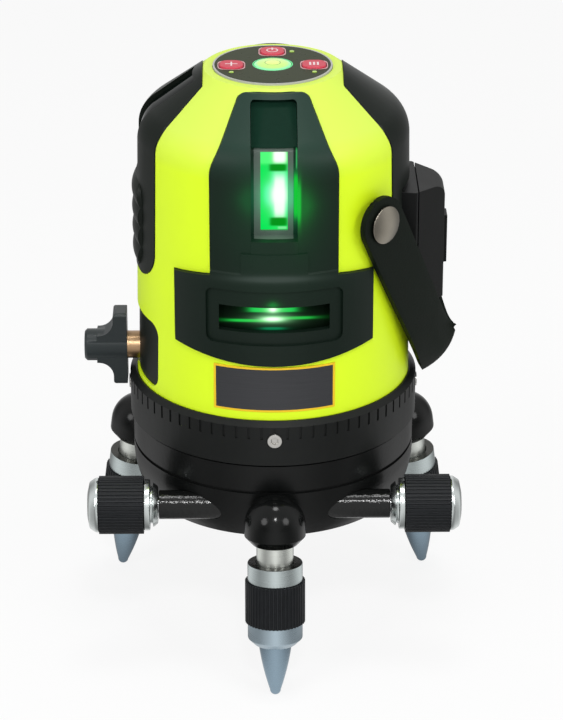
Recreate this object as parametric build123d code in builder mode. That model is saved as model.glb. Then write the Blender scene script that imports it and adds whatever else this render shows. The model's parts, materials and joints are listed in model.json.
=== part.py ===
from build123d import *

import os
from math import cos, pi, radians, sin, sqrt, tan

os.makedirs("parts", exist_ok=True)

# Line laser level on a levelling base, in millimetres.
# The origin is the mouth of the tripod thread in the middle of the base's underside.
# +Z is up, the laser windows face -Y, the lock knob is at -X and the battery box at +X.

# Clearances
fit_gap = 0.15
run_gap = 0.05
slide_gap = 0.3

# Base: a bowl with an upright wall, closed by a flange above and a plate below
base_r = 57.0
base_h = 33.2
base_foot_tuck = 5.5
base_bulge_tuck = 1.6
base_bulge_z = 8.0
base_waist_z = 20.0
base_wall = 3.0
base_flange = 4.2
groove_rise = 1.1
groove_w = 1.4
groove_depth = 0.9
plate_t = 3.0
boss_r = 2.5
boss_margin = 0.7
boss_sink = 1.0
plate_screw_r = 1.2
plate_screw_head_r = 2.2
plate_screw_head_t = 1.4
plate_screw_len = 11.0
plate_screw_count = 3

# Tripod bush: 5/8 inch thread, as a plain bore of its nominal diameter
thread_r = 15.875 / 2
bush_r = 12.0
bush_collar_r = 16.0
bush_h = 10.0

# Fine drive: worm shaft across the front of the base, with a knob at each end
drive_inset = 11.0
drive_z = 11.4
shaft_r = 3.0
tube_r = 5.8
tube_inner_x = 17.0
hub_inner_x = 46.3
hub_neck_r = 7.3
hub_collar_r = 10.2
hub_collar_len = 5.6
hub_groove_w = 1.2
hub_groove_r = 7.4
hub_core_r = 9.0
hub_cap_r = 10.9
hub_cap_len = 4.4
hub_cap_edge = 1.6
shaft_bite = 14.0
grip_r = 11.6
grip_len = 18.0
flute_count = 48
flute_r = 0.45
worm_pitch_r = 5.0
worm_turns = 5
thread_sink = 0.3
wheel_teeth = 72
addendum_share = 0.8
dedendum_share = 1.05
tooth_share = 0.36
pressure_deg = 20.0
wheel_rim_t = 3.2
wheel_skirt_r = 35.5
wheel_skirt_t = 3.5
wheel_web_t = 4.0
wheel_lift = 0.6
hub_r = 12.0
spindle_r = 8.0
spindle_cap_r = 14.0
spindle_cap_t = 3.0
spindle_tail = 18.0
nut_h = 5.5
nut_flats = 26.0
washer_t = 2.0
washer_r = 15.0

# Feet, measured along the splayed leg axis from the tip
tip_out = 17.9
foot_drop = 59.0
splay_deg = 8.5
tip_end_r = 2.2
tip_top_r = 6.6
tip_len = 21.7
tip_bulge = 0.5
tip_neck_r = 4.0
tip_neck_len = 1.0
tip_head_r = 6.0
tip_head_len = 3.0
collar_r = 10.9
collar_len = 9.2
collar_chamfer = 2.6
sleeve_core_r = 9.4
sleeve_web = 2.0
foot_grip_r = 11.9
foot_grip_len = 17.4
cup_len = 7.3
cup_depth = 9.6
stud_r = 7.35
stud_rod_r = 5.0
stud_show = 7.9
stud_seat = 1.5
stud_tail = 18.0
stud_tenon = 9.0
dome_r = 12.1
dome_low_r = 9.0
dome_chamfer = 3.4
dome_rise = 7.6
arm_r = 6.5

# Head: bottom floor, graduated ring and cover
turn_gap = 1.0
floor_t = 4.0
floor_lip = 2.0
floor_rim_t = 2.8
floor_rim_h = 16.0
ring_wall = 3.0
ring_h = 18.4
ring_bevel_h = 1.9
ring_bevel_w = 2.2
tick_count = 72
tick_w = 1.0
tick_h = 5.2
tick_depth = 0.5
tick_drop = 1.9
ring_screw_up = 10.8
ring_screw_count = 4
ring_screw_r = 1.5
ring_screw_head_r = 2.9
ring_screw_head_t = 1.5
ring_screw_sink = 1.0
ring_screw_len = 8.0
ring_socket_flats = 2.6
ring_socket_depth = 1.0
shell_r = 55.0
shell_draft = 1.8
shell_wall = 2.2
knee_up = 126.1
knee_fillet = 14.0
shoulder_deg = 36.0
rim_r = 27.0
reach = 80.0

# Black bezels that fill the openings of the cover, and the name plate below them
plate_half = 23.6
plate_margin = 3.6
plate_h = 18.7
plate_proud = 0.4
plate_gap = 1.1
bezel_rim_gap = 0.4
low_proud = 1.6
low_half = 38.6
low_sag = 5.2
low_h = 34.2
low_crown = 1.8
brow_h = 4.2
brow_slope_h = 3.6
arch_proud = 1.0
arch_half = 24.6
arch_knee_drop = 5.6
arch_knee_round = 14.0
arch_top_half = 12.8
arch_top_drop = 1.1
arch_round = 4.0
sill_step = 0.35
sill_low_h = 6.1
sill_top_h = 5.1
sill_margin = 3.9
slot_half = 8.9
slot_top_margin = 1.6
slot_round = 1.6
recess_rise = 8.6
recess_h = 22.4
recess_margin = 5.1
recess_depth = 1.2
recess_round = 3.0
line_half = 21.4
line_rise = 5.0
line_h = 10.5
pane_t = 1.2
pane_margin = 1.8
frame_sink = 7.8
frame_wall = 1.4
frame_back = 1.6
frame_head = 1.4
eye_half = 5.2
eye_rise = 1.6
eye_h = 32.2
upper_pane_sink = 1.5
side_proud = 0.4
side_half = 27.8
side_low_up = 65.3
side_low_round = 12.0
side_knee_rise = 1.6
side_knee_round = 10.0
side_neck_half = 13.0
side_neck_drop = 0.7
side_slot_h = 39.4
side_pane_sink = 1.2
rib_count = 4
rib_pitch = 8.2
rib_rise = 6.7
rib_r = 8.0
rib_half = 17.0
rib_proud = 0.9

# Lock: escutcheon, brass shaft with a cam, and a wing knob
lock_plate_half = 30.0
lock_plate_margin = 2.0
lock_plate_h = 27.2
lock_plate_round = 5.0
lock_plate_sink = 0.8
lock_boss_r = 9.0
lock_boss_len = 10.0
lock_rise = 6.4
lock_neck_r = 5.6
lock_shaft_r = 4.0
lock_step_sink = 5.0
lock_bar_gap = 4.0
lock_bar_t = 5.6
lock_bar_len = 31.0
lock_bar_w = 11.0
lock_bar_round = 1.6
lock_hub_r = 6.5
lock_hub_len = 11.6
lock_hub_edge = 1.0
lock_flare = 6.0
lock_web_inset = 0.6
cam_r = 6.5
cam_throw = 3.0
cam_w = 8.0
cam_gap = 0.5

# Keypad on the flat top
panel_r = 23.4
panel_t = 1.9
panel_seat_t = 1.0
panel_hole_r = 22.0
key_size = 9.4
key_round = 3.4
key_proud = 0.6
key_edge = 0.4
key_flange = 0.8
key_flange_t = 0.8
side_key_x = 16.1
side_key_y = -1.0
top_key_y = 15.4
vial_r = 7.4
vial_proud = 0.8
vial_crown = 0.7
lamp_r = 1.0
lamp_proud = 0.3
lamp_drop = 8.5
lamp_beside = 7.7
board_t = 1.6
board_drop = 2.4

# Battery box on the right: dock, case with flat cells, and a cover that slides up
box_half = 18.0
box_sink = 5.2
box_depth = 18.2
box_chamfer = 12.0
box_low_up = 49.8
box_h = 49.2
box_slope = 1.0
box_round = 5.0
dock_t = 3.0
dock_margin = 2.0
case_wall = 1.8
case_setback = 8.3
cover_depth = 10.9
cover_side_t = 2.0
cover_face_t = 2.8
cover_top_t = 2.5
cover_lip = 1.2
cover_lip_t = 1.3
cover_pad_t = 1.3
cover_pad_half = 4.0
cover_pad_low = 14.0
cover_pad_top = 34.0
cell_half = 8.0
cell_h = 42.0
cell_count = 2

# Carrying strap between two rivets on the right side of the cover
rivet_turn_deg = 46.0
rivet_drop = 4.2
rivet_head_r = 7.5
rivet_head_t = 2.4
rivet_crown = 1.6
rivet_shank_r = 2.5
rivet_shoulder_r = 4.5
strap_w = 20.5
strap_t = 2.6
strap_seat = 2.6
strap_pad = 0.2
strap_drop = 71.5
strap_bend_plan = 17.0
strap_bend_rise = 20.0
strap_lean_deg = 40.5
strap_stations = 8

# Gimbal, pendulum and boards inside the head
pivot_drop = 2.3
post_circle_r = 40.0
post_r = 3.0
deck_r = 42.0
deck_hole_r = 22.0
deck_t = 6.0
pin_r = 1.5
gimbal_r = 18.0
gimbal_wall = 5.0
hanger_r = 9.5
hanger_h = 11.0
column_half = 9.0
weight_r = 22.0
weight_h = 12.0
module_r = 6.5
module_reach = 30.0
tall_module_drop = 12.0
lens_r = 2.6
lens_len = 11.0
main_board_half = 31.0
main_board_low_up = 26.0
main_board_h = 80.0

# Places worked out from the sizes above
base_foot_r = base_r - base_foot_tuck
base_bulge_r = base_r - base_bulge_tuck
tip_circle_r = base_r + tip_out
ring_r = shell_r + ring_wall
head_z = base_h + turn_gap
ring_top_z = head_z + ring_h
knee_z = head_z + knee_up
knee_r = shell_r - shell_draft
rim_z = knee_z + (knee_r - rim_r) * tan(radians(shoulder_deg))
bezel_root = rim_r + bezel_rim_gap
plate_low_z = ring_top_z + plate_margin
plate_top_z = plate_low_z + plate_h
low_bottom_z = plate_top_z + plate_gap
low_side_z = low_bottom_z + low_sag
low_side_top_z = low_bottom_z + low_h
low_top_z = low_side_top_z + low_crown
brow_z = low_top_z + brow_h
sill_mid_z = brow_z + sill_low_h
slot_bottom_z = sill_mid_z + sill_top_h
arch_knee_z = knee_z - arch_knee_drop
arch_top_z = rim_z - arch_top_drop
slot_top_z = arch_top_z - slot_top_margin
recess_low_z = low_bottom_z + recess_rise
recess_top_z = recess_low_z + recess_h
line_low_z = recess_low_z + line_rise
line_top_z = line_low_z + line_h
frame_face_y = shell_r - frame_sink
eye_low_z = slot_bottom_z + eye_rise
eye_top_z = eye_low_z + eye_h
frame_top_z = eye_top_z + frame_head
side_low_z = head_z + side_low_up
side_knee_z = knee_z + side_knee_rise
side_neck_z = rim_z - side_neck_drop
side_slot_low_z = slot_top_z - side_slot_h
rib_first_z = side_low_z + rib_rise
lock_plate_low_z = ring_top_z + lock_plate_margin
lock_plate_top_z = lock_plate_low_z + lock_plate_h
lock_z = lock_plate_low_z + lock_rise
lock_step_x = shell_r - lock_step_sink
lock_bar_x = shell_r + lock_bar_gap
lock_hub_x = lock_bar_x + lock_bar_t
lock_hub_end_x = lock_hub_x + lock_hub_len
pivot_z = knee_z - pivot_drop
tall_z = pivot_z - tall_module_drop
wide_z = (line_low_z + line_top_z) / 2
skirt_z = head_z + floor_lip + fit_gap
base_opening_r = base_foot_r - base_wall
boss_circle_r = base_opening_r - boss_r - boss_margin
drive_y = base_r - drive_inset
wheel_pitch_r = drive_y - worm_pitch_r
tooth_module = 2 * wheel_pitch_r / wheel_teeth
tooth_pitch = pi * tooth_module
addendum = addendum_share * tooth_module
dedendum = dedendum_share * tooth_module
web_top_z = base_h - base_flange - wheel_lift
web_low_z = web_top_z - wheel_web_t
hub_grip_x = hub_inner_x + hub_collar_len
hub_cap_x = hub_grip_x + grip_len
collar_s = tip_len + slide_gap
grip_s = collar_s + collar_len
cup_s = grip_s + foot_grip_len
cup_top_s = cup_s + cup_len
dome_s = cup_top_s + stud_show
dome_centre_s = dome_s + dome_rise
panel_seat_z = rim_z - shell_wall + panel_seat_t
panel_top_z = panel_seat_z + panel_t
box_low_z = head_z + box_low_up
box_top_z = box_low_z + box_h
box_back_x = shell_r - box_sink
box_face_x = box_back_x + box_depth
box_diagonal = box_face_x + box_half - box_chamfer
case_front_x = box_face_x - case_setback
cover_back_x = box_face_x - cover_depth
rivet_z = box_top_z - rivet_drop
rivet_seat_r = shell_r - shell_draft * (rivet_z - ring_top_z) / (knee_z - ring_top_z)
case_side = box_diagonal - sqrt(2) * cover_side_t - slide_gap

# Views of the head: local x runs to the viewer's right, local y is up, and the plane faces the viewer
front_view = Plane.XZ
right_view = Plane.YZ
left_view = Plane((0, 0, 0), x_dir=(0, -1, 0), z_dir=(-1, 0, 0))
rear_view = Plane((0, 0, 0), x_dir=(-1, 0, 0), z_dir=(0, 1, 0))


def save(piece, name):
    """Label a finished piece and write it as one node."""
    piece.part.label = name
    export_step(piece.part, f"parts/{name}.step")


def turned(section, outline):
    """Solid turned about the section's local y, from (radius, distance along the axis) points."""
    with BuildPart() as solid:
        with BuildSketch(section):
            with BuildLine():
                Polyline(*outline, close=True)
            make_face()
        revolve(axis=Axis(section.origin, section.y_dir))
    return solid.part


def prism(view, outline, radii, grow=0.0):
    """Straight prism towards the viewer, outside the flat top, with one corner radius for each point."""
    with BuildPart() as solid:
        with BuildSketch(view.offset(bezel_root - grow)):
            with BuildLine():
                FilletPolyline(*outline, radius=radii, close=True)
            make_face()
            if grow:
                offset(amount=grow)
        extrude(amount=reach)
    return solid.part


def block(low, high):
    """Box between two corners."""
    size = Vector(*high) - Vector(*low)
    centre = (Vector(*high) + Vector(*low)) * 0.5
    with BuildPart() as solid:
        with Locations(centre):
            Box(size.X, size.Y, size.Z)
    return solid.part


def domed(start, out, radius, height, crown):
    """Round head with a domed face: it stands on a point, along a direction."""
    ball_r = (radius**2 + crown**2) / (2 * crown)
    with BuildPart() as solid:
        with BuildSketch(Plane(origin=start, z_dir=out)):
            Circle(radius)
        extrude(amount=height + crown)
        with BuildPart(mode=Mode.PRIVATE) as ball:
            with Locations(start + out * (height - ball_r)):
                Sphere(ball_r)
        add(ball.part, mode=Mode.INTERSECT)
    return solid.part


def rod(start, end, radius):
    """Round rod between two points."""
    path = Vector(*end) - Vector(*start)
    with BuildPart() as solid:
        with BuildSketch(Plane(origin=start, z_dir=path)):
            Circle(radius)
        extrude(amount=path.length)
    return solid.part


def cover_form(offset_out, low_z):
    """Solid inside the cover's outer skin, with that skin moved outwards."""
    slope = radians(shoulder_deg)
    side_r = shell_r + offset_out
    corner = (knee_r + offset_out, knee_z + offset_out * (1 - sin(slope)) / cos(slope))
    flat_r = rim_r + offset_out * tan(slope / 2)
    flat_z = rim_z + offset_out
    with BuildPart() as form:
        with BuildSketch(Plane.XZ):
            with BuildLine():
                Polyline((flat_r, flat_z), (0, flat_z), (0, low_z), (side_r, low_z), (side_r, ring_top_z))
                knee_radius = knee_fillet + offset_out
                FilletPolyline((side_r, ring_top_z), corner, (flat_r, flat_z), radius=knee_radius)
            make_face()
        revolve(axis=Axis.Z)
    return form.part


def cover_band(inner, outer):
    """Curved wall between two offsets of the cover's skin."""
    with BuildPart() as band:
        add(cover_form(outer, skirt_z))
        add(cover_form(inner, skirt_z), mode=Mode.SUBTRACT)
    return band.part


def base_form(grow):
    """Solid inside the base's outer skin, grown by a clearance."""
    with BuildPart() as form:
        with BuildSketch(Plane.XZ):
            with BuildLine():
                waist = (base_r + grow, base_waist_z)
                foot = (base_foot_r + grow, 0)
                Polyline(waist, (base_r + grow, base_h), (0, base_h), (0, 0), foot)
                ThreePointArc(foot, (base_bulge_r + grow, base_bulge_z), waist)
            make_face()
        revolve(axis=Axis.Z)
    return form.part


# Base housing: outer bowl with its groove, inner flange with the head's bearing, and bosses for the plate
with BuildPart() as base_housing:
    groove_z = base_waist_z + groove_rise
    with BuildSketch(Plane.XZ):
        with BuildLine():
            Polyline(
                (base_r, base_waist_z),
                (base_r, groove_z),
                (base_r - groove_depth, groove_z),
                (base_r - groove_depth, groove_z + groove_w),
                (base_r, groove_z + groove_w),
                (base_r, base_h),
                (hub_r + run_gap, base_h),
                (hub_r + run_gap, base_h - base_flange),
                (base_r - base_wall, base_h - base_flange),
                (base_r - base_wall, base_waist_z),
            )
            ThreePointArc(
                (base_r - base_wall, base_waist_z),
                (base_bulge_r - base_wall, base_bulge_z),
                (base_opening_r, plate_t),
            )
            Polyline((base_opening_r, plate_t), (base_opening_r, 0), (base_foot_r, 0))
            ThreePointArc((base_foot_r, 0), (base_bulge_r, base_bulge_z), (base_r, base_waist_z))
        make_face()
    revolve(axis=Axis.Z)
    with BuildSketch(Plane.XY.offset(plate_t)):
        with PolarLocations(boss_circle_r, plate_screw_count, start_angle=90):
            Circle(boss_r)
    extrude(amount=base_h - base_flange + boss_sink - plate_t)
    with BuildSketch(Plane.XY):
        with PolarLocations(boss_circle_r, plate_screw_count, start_angle=90):
            Circle(plate_screw_r + fit_gap)
    extrude(amount=plate_screw_len + fit_gap, mode=Mode.SUBTRACT)
    add(rod((-reach, -drive_y, drive_z), (reach, -drive_y, drive_z), tube_r + fit_gap), mode=Mode.SUBTRACT)
save(base_housing, "base_housing")

# Base plate with a hole for the tripod bush and countersunk seats for its screws
with BuildPart() as base_plate:
    with BuildSketch(Plane.XY):
        Circle(base_opening_r - fit_gap)
        Circle(bush_r + fit_gap, mode=Mode.SUBTRACT)
        with PolarLocations(boss_circle_r, plate_screw_count, start_angle=90):
            Circle(plate_screw_r + fit_gap, mode=Mode.SUBTRACT)
    extrude(amount=plate_t)
    with BuildSketch(Plane.XY):
        with PolarLocations(boss_circle_r, plate_screw_count, start_angle=90):
            Circle(plate_screw_head_r + fit_gap)
    extrude(amount=plate_screw_head_t + fit_gap, mode=Mode.SUBTRACT)
save(base_plate, "base_plate")

with BuildPart() as base_screws:
    with BuildSketch(Plane.XY):
        with PolarLocations(boss_circle_r, plate_screw_count, start_angle=90):
            Circle(plate_screw_head_r)
    extrude(amount=plate_screw_head_t)
    with BuildSketch(Plane.XY.offset(plate_screw_head_t)):
        with PolarLocations(boss_circle_r, plate_screw_count, start_angle=90):
            Circle(plate_screw_r)
    extrude(amount=plate_screw_len - plate_screw_head_t)
save(base_screws, "base_screws")

with BuildPart() as tripod_bush:
    bush_outline = [
        (thread_r, 0),
        (bush_r, 0),
        (bush_r, plate_t),
        (bush_collar_r, plate_t),
        (bush_collar_r, bush_h),
        (thread_r, bush_h),
    ]
    add(turned(Plane.XZ, bush_outline))
save(tripod_bush, "tripod_bush")

# Tubes that carry the worm shaft out to the two fine knobs
with BuildPart() as fine_tubes:
    for side in (-1, 1):
        tube_start = (side * tube_inner_x, -drive_y, drive_z)
        tube_end = (side * (hub_inner_x - slide_gap), -drive_y, drive_z)
        add(rod(tube_start, tube_end, tube_r))
    add(rod((-reach, -drive_y, drive_z), (reach, -drive_y, drive_z), shaft_r + run_gap), mode=Mode.SUBTRACT)
save(fine_tubes, "fine_tubes")

# Worm wheel: a cup whose hub turns in the base's flange and carries the head
with BuildPart() as worm_wheel:
    rim_low_z = drive_z - wheel_rim_t / 2
    rim_top_z = drive_z + wheel_rim_t / 2
    root_r = wheel_pitch_r - dedendum
    wheel_outline = [
        (spindle_r + run_gap, web_low_z),
        (wheel_skirt_r - wheel_skirt_t, web_low_z),
        (wheel_skirt_r - wheel_skirt_t, rim_low_z),
        (root_r, rim_low_z),
        (root_r, rim_top_z),
        (wheel_skirt_r, rim_top_z),
        (wheel_skirt_r, web_top_z),
        (hub_r, web_top_z),
        (hub_r, head_z - run_gap),
        (spindle_r + run_gap, head_z - run_gap),
    ]
    add(turned(Plane.XZ, wheel_outline))
    pressure = tan(radians(pressure_deg))
    tooth_half = tooth_share * tooth_pitch / 2
    tooth_root = tooth_half + dedendum * pressure
    tooth_tip = tooth_half - addendum * pressure
    with BuildSketch(Plane.XY.offset(rim_low_z)):
        with PolarLocations(0, wheel_teeth, start_angle=-90):
            with BuildLine():
                Polyline(
                    (root_r - dedendum, -tooth_root),
                    (root_r, -tooth_root),
                    (wheel_pitch_r + addendum, -tooth_tip),
                    (wheel_pitch_r + addendum, tooth_tip),
                    (root_r, tooth_root),
                    (root_r - dedendum, tooth_root),
                    close=True,
                )
            make_face()
    extrude(amount=wheel_rim_t)
save(worm_wheel, "worm_wheel")

# Worm shaft: a plain shaft with a one-start worm at its middle
worm_len = worm_turns * tooth_pitch
with BuildLine() as worm_helix:
    Helix(pitch=tooth_pitch, height=worm_len, radius=worm_pitch_r)
worm_start = Plane((-worm_len / 2, -drive_y, drive_z), x_dir=(0, 1, 0), z_dir=(1, 0, 0))
worm_path = worm_helix.line.moved(worm_start.location)
with BuildPart() as worm_thread:
    with BuildSketch(Plane(worm_path @ 0, x_dir=(0, 1, 0), z_dir=(0, 0, 1))):
        with BuildLine():
            Polyline(
                (-dedendum - thread_sink, -tooth_root),
                (addendum, -tooth_tip),
                (addendum, tooth_tip),
                (-dedendum - thread_sink, tooth_root),
                close=True,
            )
        make_face()
    sweep(path=worm_path, is_frenet=True)
with BuildPart() as worm_shaft:
    shaft_end_x = hub_inner_x + shaft_bite
    worm_half = worm_len / 2 + tooth_pitch
    add(rod((-shaft_end_x, -drive_y, drive_z), (shaft_end_x, -drive_y, drive_z), shaft_r))
    add(rod((-worm_half, -drive_y, drive_z), (worm_half, -drive_y, drive_z), worm_pitch_r - dedendum))
    add(worm_thread.part)
save(worm_shaft, "worm_shaft")


def drive_section(side):
    """Section of a fine knob: local x is the radius and local y runs outwards along the shaft."""
    return Plane((0, -drive_y, drive_z), x_dir=(0, 0, 1), z_dir=(0, side, 0))


with BuildPart() as fine_hubs:
    hub_groove_x = hub_grip_x - 2 * hub_groove_w
    hub_outline = [
        (shaft_r + fit_gap, hub_inner_x),
        (hub_neck_r, hub_inner_x),
        (hub_collar_r - hub_groove_w, hub_groove_x - hub_groove_w),
        (hub_groove_r, hub_groove_x - hub_groove_w),
        (hub_groove_r, hub_groove_x),
        (hub_collar_r, hub_groove_x),
        (hub_collar_r, hub_grip_x),
        (hub_core_r, hub_grip_x),
        (hub_core_r, hub_cap_x),
        (hub_cap_r, hub_cap_x),
        (hub_cap_r, hub_cap_x + hub_cap_len - 2 * hub_cap_edge),
        (hub_cap_r - hub_cap_edge, hub_cap_x + hub_cap_len - hub_cap_edge / 2),
        (hub_cap_r / 2, hub_cap_x + hub_cap_len),
        (0, hub_cap_x + hub_cap_len),
        (0, hub_inner_x + shaft_bite + fit_gap),
        (shaft_r + fit_gap, hub_inner_x + shaft_bite + fit_gap),
    ]
    for side in (-1, 1):
        add(turned(drive_section(side), hub_outline))
save(fine_hubs, "fine_hubs")


def fluted_ring(plane, outer_r, inner_r, length):
    """Knurled ring with straight flutes, from the plane along its normal."""
    with BuildPart() as ring:
        with BuildSketch(plane):
            Circle(outer_r)
            Circle(inner_r, mode=Mode.SUBTRACT)
            with PolarLocations(outer_r, flute_count):
                Circle(flute_r, mode=Mode.SUBTRACT)
        extrude(amount=length)
    return ring.part


with BuildPart() as fine_grips:
    for side in (-1, 1):
        grip_start = (side * (hub_grip_x + fit_gap), -drive_y, drive_z)
        grip_plane = Plane(grip_start, x_dir=(0, 1, 0), z_dir=(side, 0, 0))
        add(fluted_ring(grip_plane, grip_r, hub_core_r + fit_gap, grip_len - 2 * fit_gap))
save(fine_grips, "fine_grips")


# Legs and feet: every leg has its own splayed axis, and pieces are turned about it
def leg_section(turn):
    """Section of a leg: local x is the radius, local y runs up the leg from the tip."""
    outward = Vector(cos(radians(turn)), sin(radians(turn)), 0)
    splay = radians(splay_deg)
    axis = Vector(0, 0, cos(splay)) - outward * sin(splay)
    across = outward * cos(splay) + Vector(0, 0, sin(splay))
    return Plane(outward * tip_circle_r - Vector(0, 0, foot_drop), x_dir=across, z_dir=across.cross(axis))


leg_names = {"front": -90, "rear_right": 30, "rear_left": 150}

with BuildPart() as leg_arms:
    for turn in leg_names.values():
        section = leg_section(turn)
        with BuildSketch(section):
            with BuildLine():
                Polyline(
                    (0, dome_centre_s + dome_r),
                    (0, dome_s),
                    (dome_low_r, dome_s),
                    (dome_r, dome_s + dome_chamfer),
                    (dome_r, dome_centre_s),
                )
                RadiusArc((dome_r, dome_centre_s), (0, dome_centre_s + dome_r), -dome_r)
            make_face()
        revolve(axis=Axis(section.origin, section.y_dir))
        dome_centre = section.from_local_coords((0, dome_centre_s))
        add(rod(dome_centre, (0, 0, dome_centre.Z), arm_r))
        socket_end = section.from_local_coords((0, dome_s + stud_tenon + fit_gap))
        add(rod(section.from_local_coords((0, dome_s)), socket_end, stud_rod_r + fit_gap), mode=Mode.SUBTRACT)
    add(base_form(run_gap), mode=Mode.SUBTRACT)
save(leg_arms, "leg_arms")

with BuildPart() as leg_studs:
    stud_outline = [
        (0, cup_top_s - stud_seat - stud_tail),
        (stud_rod_r, cup_top_s - stud_seat - stud_tail),
        (stud_rod_r, cup_top_s - stud_seat),
        (stud_r, cup_top_s - stud_seat),
        (stud_r, dome_s),
        (stud_rod_r, dome_s),
        (stud_rod_r, dome_s + stud_tenon),
        (0, dome_s + stud_tenon),
    ]
    for turn in leg_names.values():
        add(turned(leg_section(turn), stud_outline))
save(leg_studs, "leg_studs")

tip_seat_s = collar_s + tip_neck_len
bore_top_s = tip_seat_s + tip_head_len + 2 * slide_gap
sleeve_outline = [
    (tip_neck_r + run_gap, collar_s),
    (collar_r - collar_chamfer, collar_s),
    (collar_r, collar_s + collar_chamfer),
    (collar_r, grip_s),
    (sleeve_core_r, grip_s),
    (sleeve_core_r, cup_s),
    (collar_r, cup_s),
    (collar_r, cup_top_s),
    (stud_r + slide_gap, cup_top_s),
    (stud_r + slide_gap, cup_top_s - cup_depth),
    (stud_rod_r + run_gap, cup_top_s - cup_depth),
    (stud_rod_r + run_gap, bore_top_s + sleeve_web),
    (0, bore_top_s + sleeve_web),
    (0, bore_top_s),
    (tip_head_r + slide_gap, bore_top_s),
    (tip_head_r + slide_gap, tip_seat_s),
    (tip_neck_r + run_gap, tip_seat_s),
]
tip_neck_s = tip_seat_s + slide_gap
for leg, turn in leg_names.items():
    section = leg_section(turn)
    with BuildPart() as foot_sleeve:
        add(turned(section, sleeve_outline))
    save(foot_sleeve, f"{leg}_foot_sleeve")

    with BuildPart() as foot_grip:
        grip_start = section.from_local_coords((0, grip_s + fit_gap))
        grip_plane = Plane(grip_start, x_dir=section.x_dir, z_dir=section.y_dir)
        add(fluted_ring(grip_plane, foot_grip_r, sleeve_core_r + fit_gap, foot_grip_len - 2 * fit_gap))
    save(foot_grip, f"{leg}_foot_grip")

    with BuildPart() as foot_tip:
        with BuildSketch(section):
            with BuildLine():
                RadiusArc((0, 0), (tip_end_r, tip_end_r), -tip_end_r)
                tip_mid = ((tip_end_r + tip_top_r) / 2 + tip_bulge, (tip_end_r + tip_len) / 2)
                ThreePointArc((tip_end_r, tip_end_r), tip_mid, (tip_top_r, tip_len))
                Polyline(
                    (tip_top_r, tip_len),
                    (tip_neck_r, tip_len),
                    (tip_neck_r, tip_neck_s),
                    (tip_head_r, tip_neck_s),
                    (tip_head_r, tip_neck_s + tip_head_len),
                    (0, tip_neck_s + tip_head_len),
                    (0, 0),
                )
            make_face()
        revolve(axis=Axis(section.origin, section.y_dir))
    save(foot_tip, f"{leg}_foot_tip")

# Head floor with the rim that the cover and the graduated ring are screwed to
floor_r = shell_r - shell_wall - fit_gap
ring_screw_z = head_z + ring_screw_up
ring_screw_planes = [
    Plane((0, 0, ring_screw_z), x_dir=(0, 0, 1), z_dir=(cos(turn), sin(turn), 0))
    for turn in [2 * pi * count / ring_screw_count - pi / 2 for count in range(ring_screw_count)]
]
screw_seat_r = ring_r - ring_screw_sink
screw_end_r = screw_seat_r - ring_screw_len


def screw_holes(start_r, radius):
    """Radial holes for the ring's screws, from a radius outwards."""
    with BuildPart() as holes:
        for plane in ring_screw_planes:
            with BuildSketch(plane.offset(start_r)):
                Circle(radius)
            extrude(amount=reach)
    return holes.part


with BuildPart() as head_floor:
    floor_outline = [
        (spindle_r + fit_gap, head_z),
        (shell_r, head_z),
        (shell_r, head_z + floor_lip),
        (floor_r, head_z + floor_lip),
        (floor_r, head_z + floor_rim_h),
        (floor_r - floor_rim_t, head_z + floor_rim_h),
        (floor_r - floor_rim_t, head_z + floor_t),
        (spindle_r + fit_gap, head_z + floor_t),
    ]
    add(turned(Plane.XZ, floor_outline))
    add(screw_holes(screw_end_r - fit_gap, ring_screw_r + fit_gap), mode=Mode.SUBTRACT)
save(head_floor, "head_floor")

with BuildPart() as head_spindle:
    spindle_low_z = web_low_z - spindle_tail + wheel_web_t + nut_h
    spindle_outline = [
        (0, spindle_low_z),
        (spindle_r, spindle_low_z),
        (spindle_r, head_z + floor_t),
        (spindle_cap_r, head_z + floor_t),
        (spindle_cap_r, head_z + floor_t + spindle_cap_t),
        (0, head_z + floor_t + spindle_cap_t),
    ]
    add(turned(Plane.XZ, spindle_outline))
save(head_spindle, "head_spindle")

washer_top_z = web_low_z - fit_gap
nut_top_z = washer_top_z - washer_t
with BuildPart() as clutch_washer:
    with BuildSketch(Plane.XY.offset(nut_top_z)):
        Circle(washer_r)
        Circle(spindle_r + fit_gap, mode=Mode.SUBTRACT)
    extrude(amount=washer_t)
save(clutch_washer, "clutch_washer")

with BuildPart() as spindle_nut:
    with BuildSketch(Plane.XY.offset(nut_top_z - nut_h)):
        RegularPolygon(nut_flats / 2, 6, major_radius=False)
        Circle(spindle_r + fit_gap, mode=Mode.SUBTRACT)
    extrude(amount=nut_h)
save(spindle_nut, "spindle_nut")

# Graduated ring with its engraved marks and the seats of its screws
with BuildPart() as graduated_ring:
    ring_outline = [
        (shell_r + fit_gap, head_z),
        (ring_r, head_z),
        (ring_r, ring_top_z - ring_bevel_h),
        (ring_r - ring_bevel_w, ring_top_z),
        (shell_r + fit_gap, ring_top_z),
    ]
    add(turned(Plane.XZ, ring_outline))
    tick_top_z = ring_top_z - tick_drop
    with BuildSketch(Plane.XY.offset(tick_top_z - tick_h)):
        with PolarLocations(ring_r, tick_count, start_angle=-90):
            Rectangle(2 * tick_depth, tick_w)
    extrude(amount=tick_h, mode=Mode.SUBTRACT)
    add(screw_holes(0, ring_screw_r + fit_gap), mode=Mode.SUBTRACT)
    add(screw_holes(screw_seat_r, ring_screw_head_r + fit_gap), mode=Mode.SUBTRACT)
save(graduated_ring, "graduated_ring")

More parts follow.
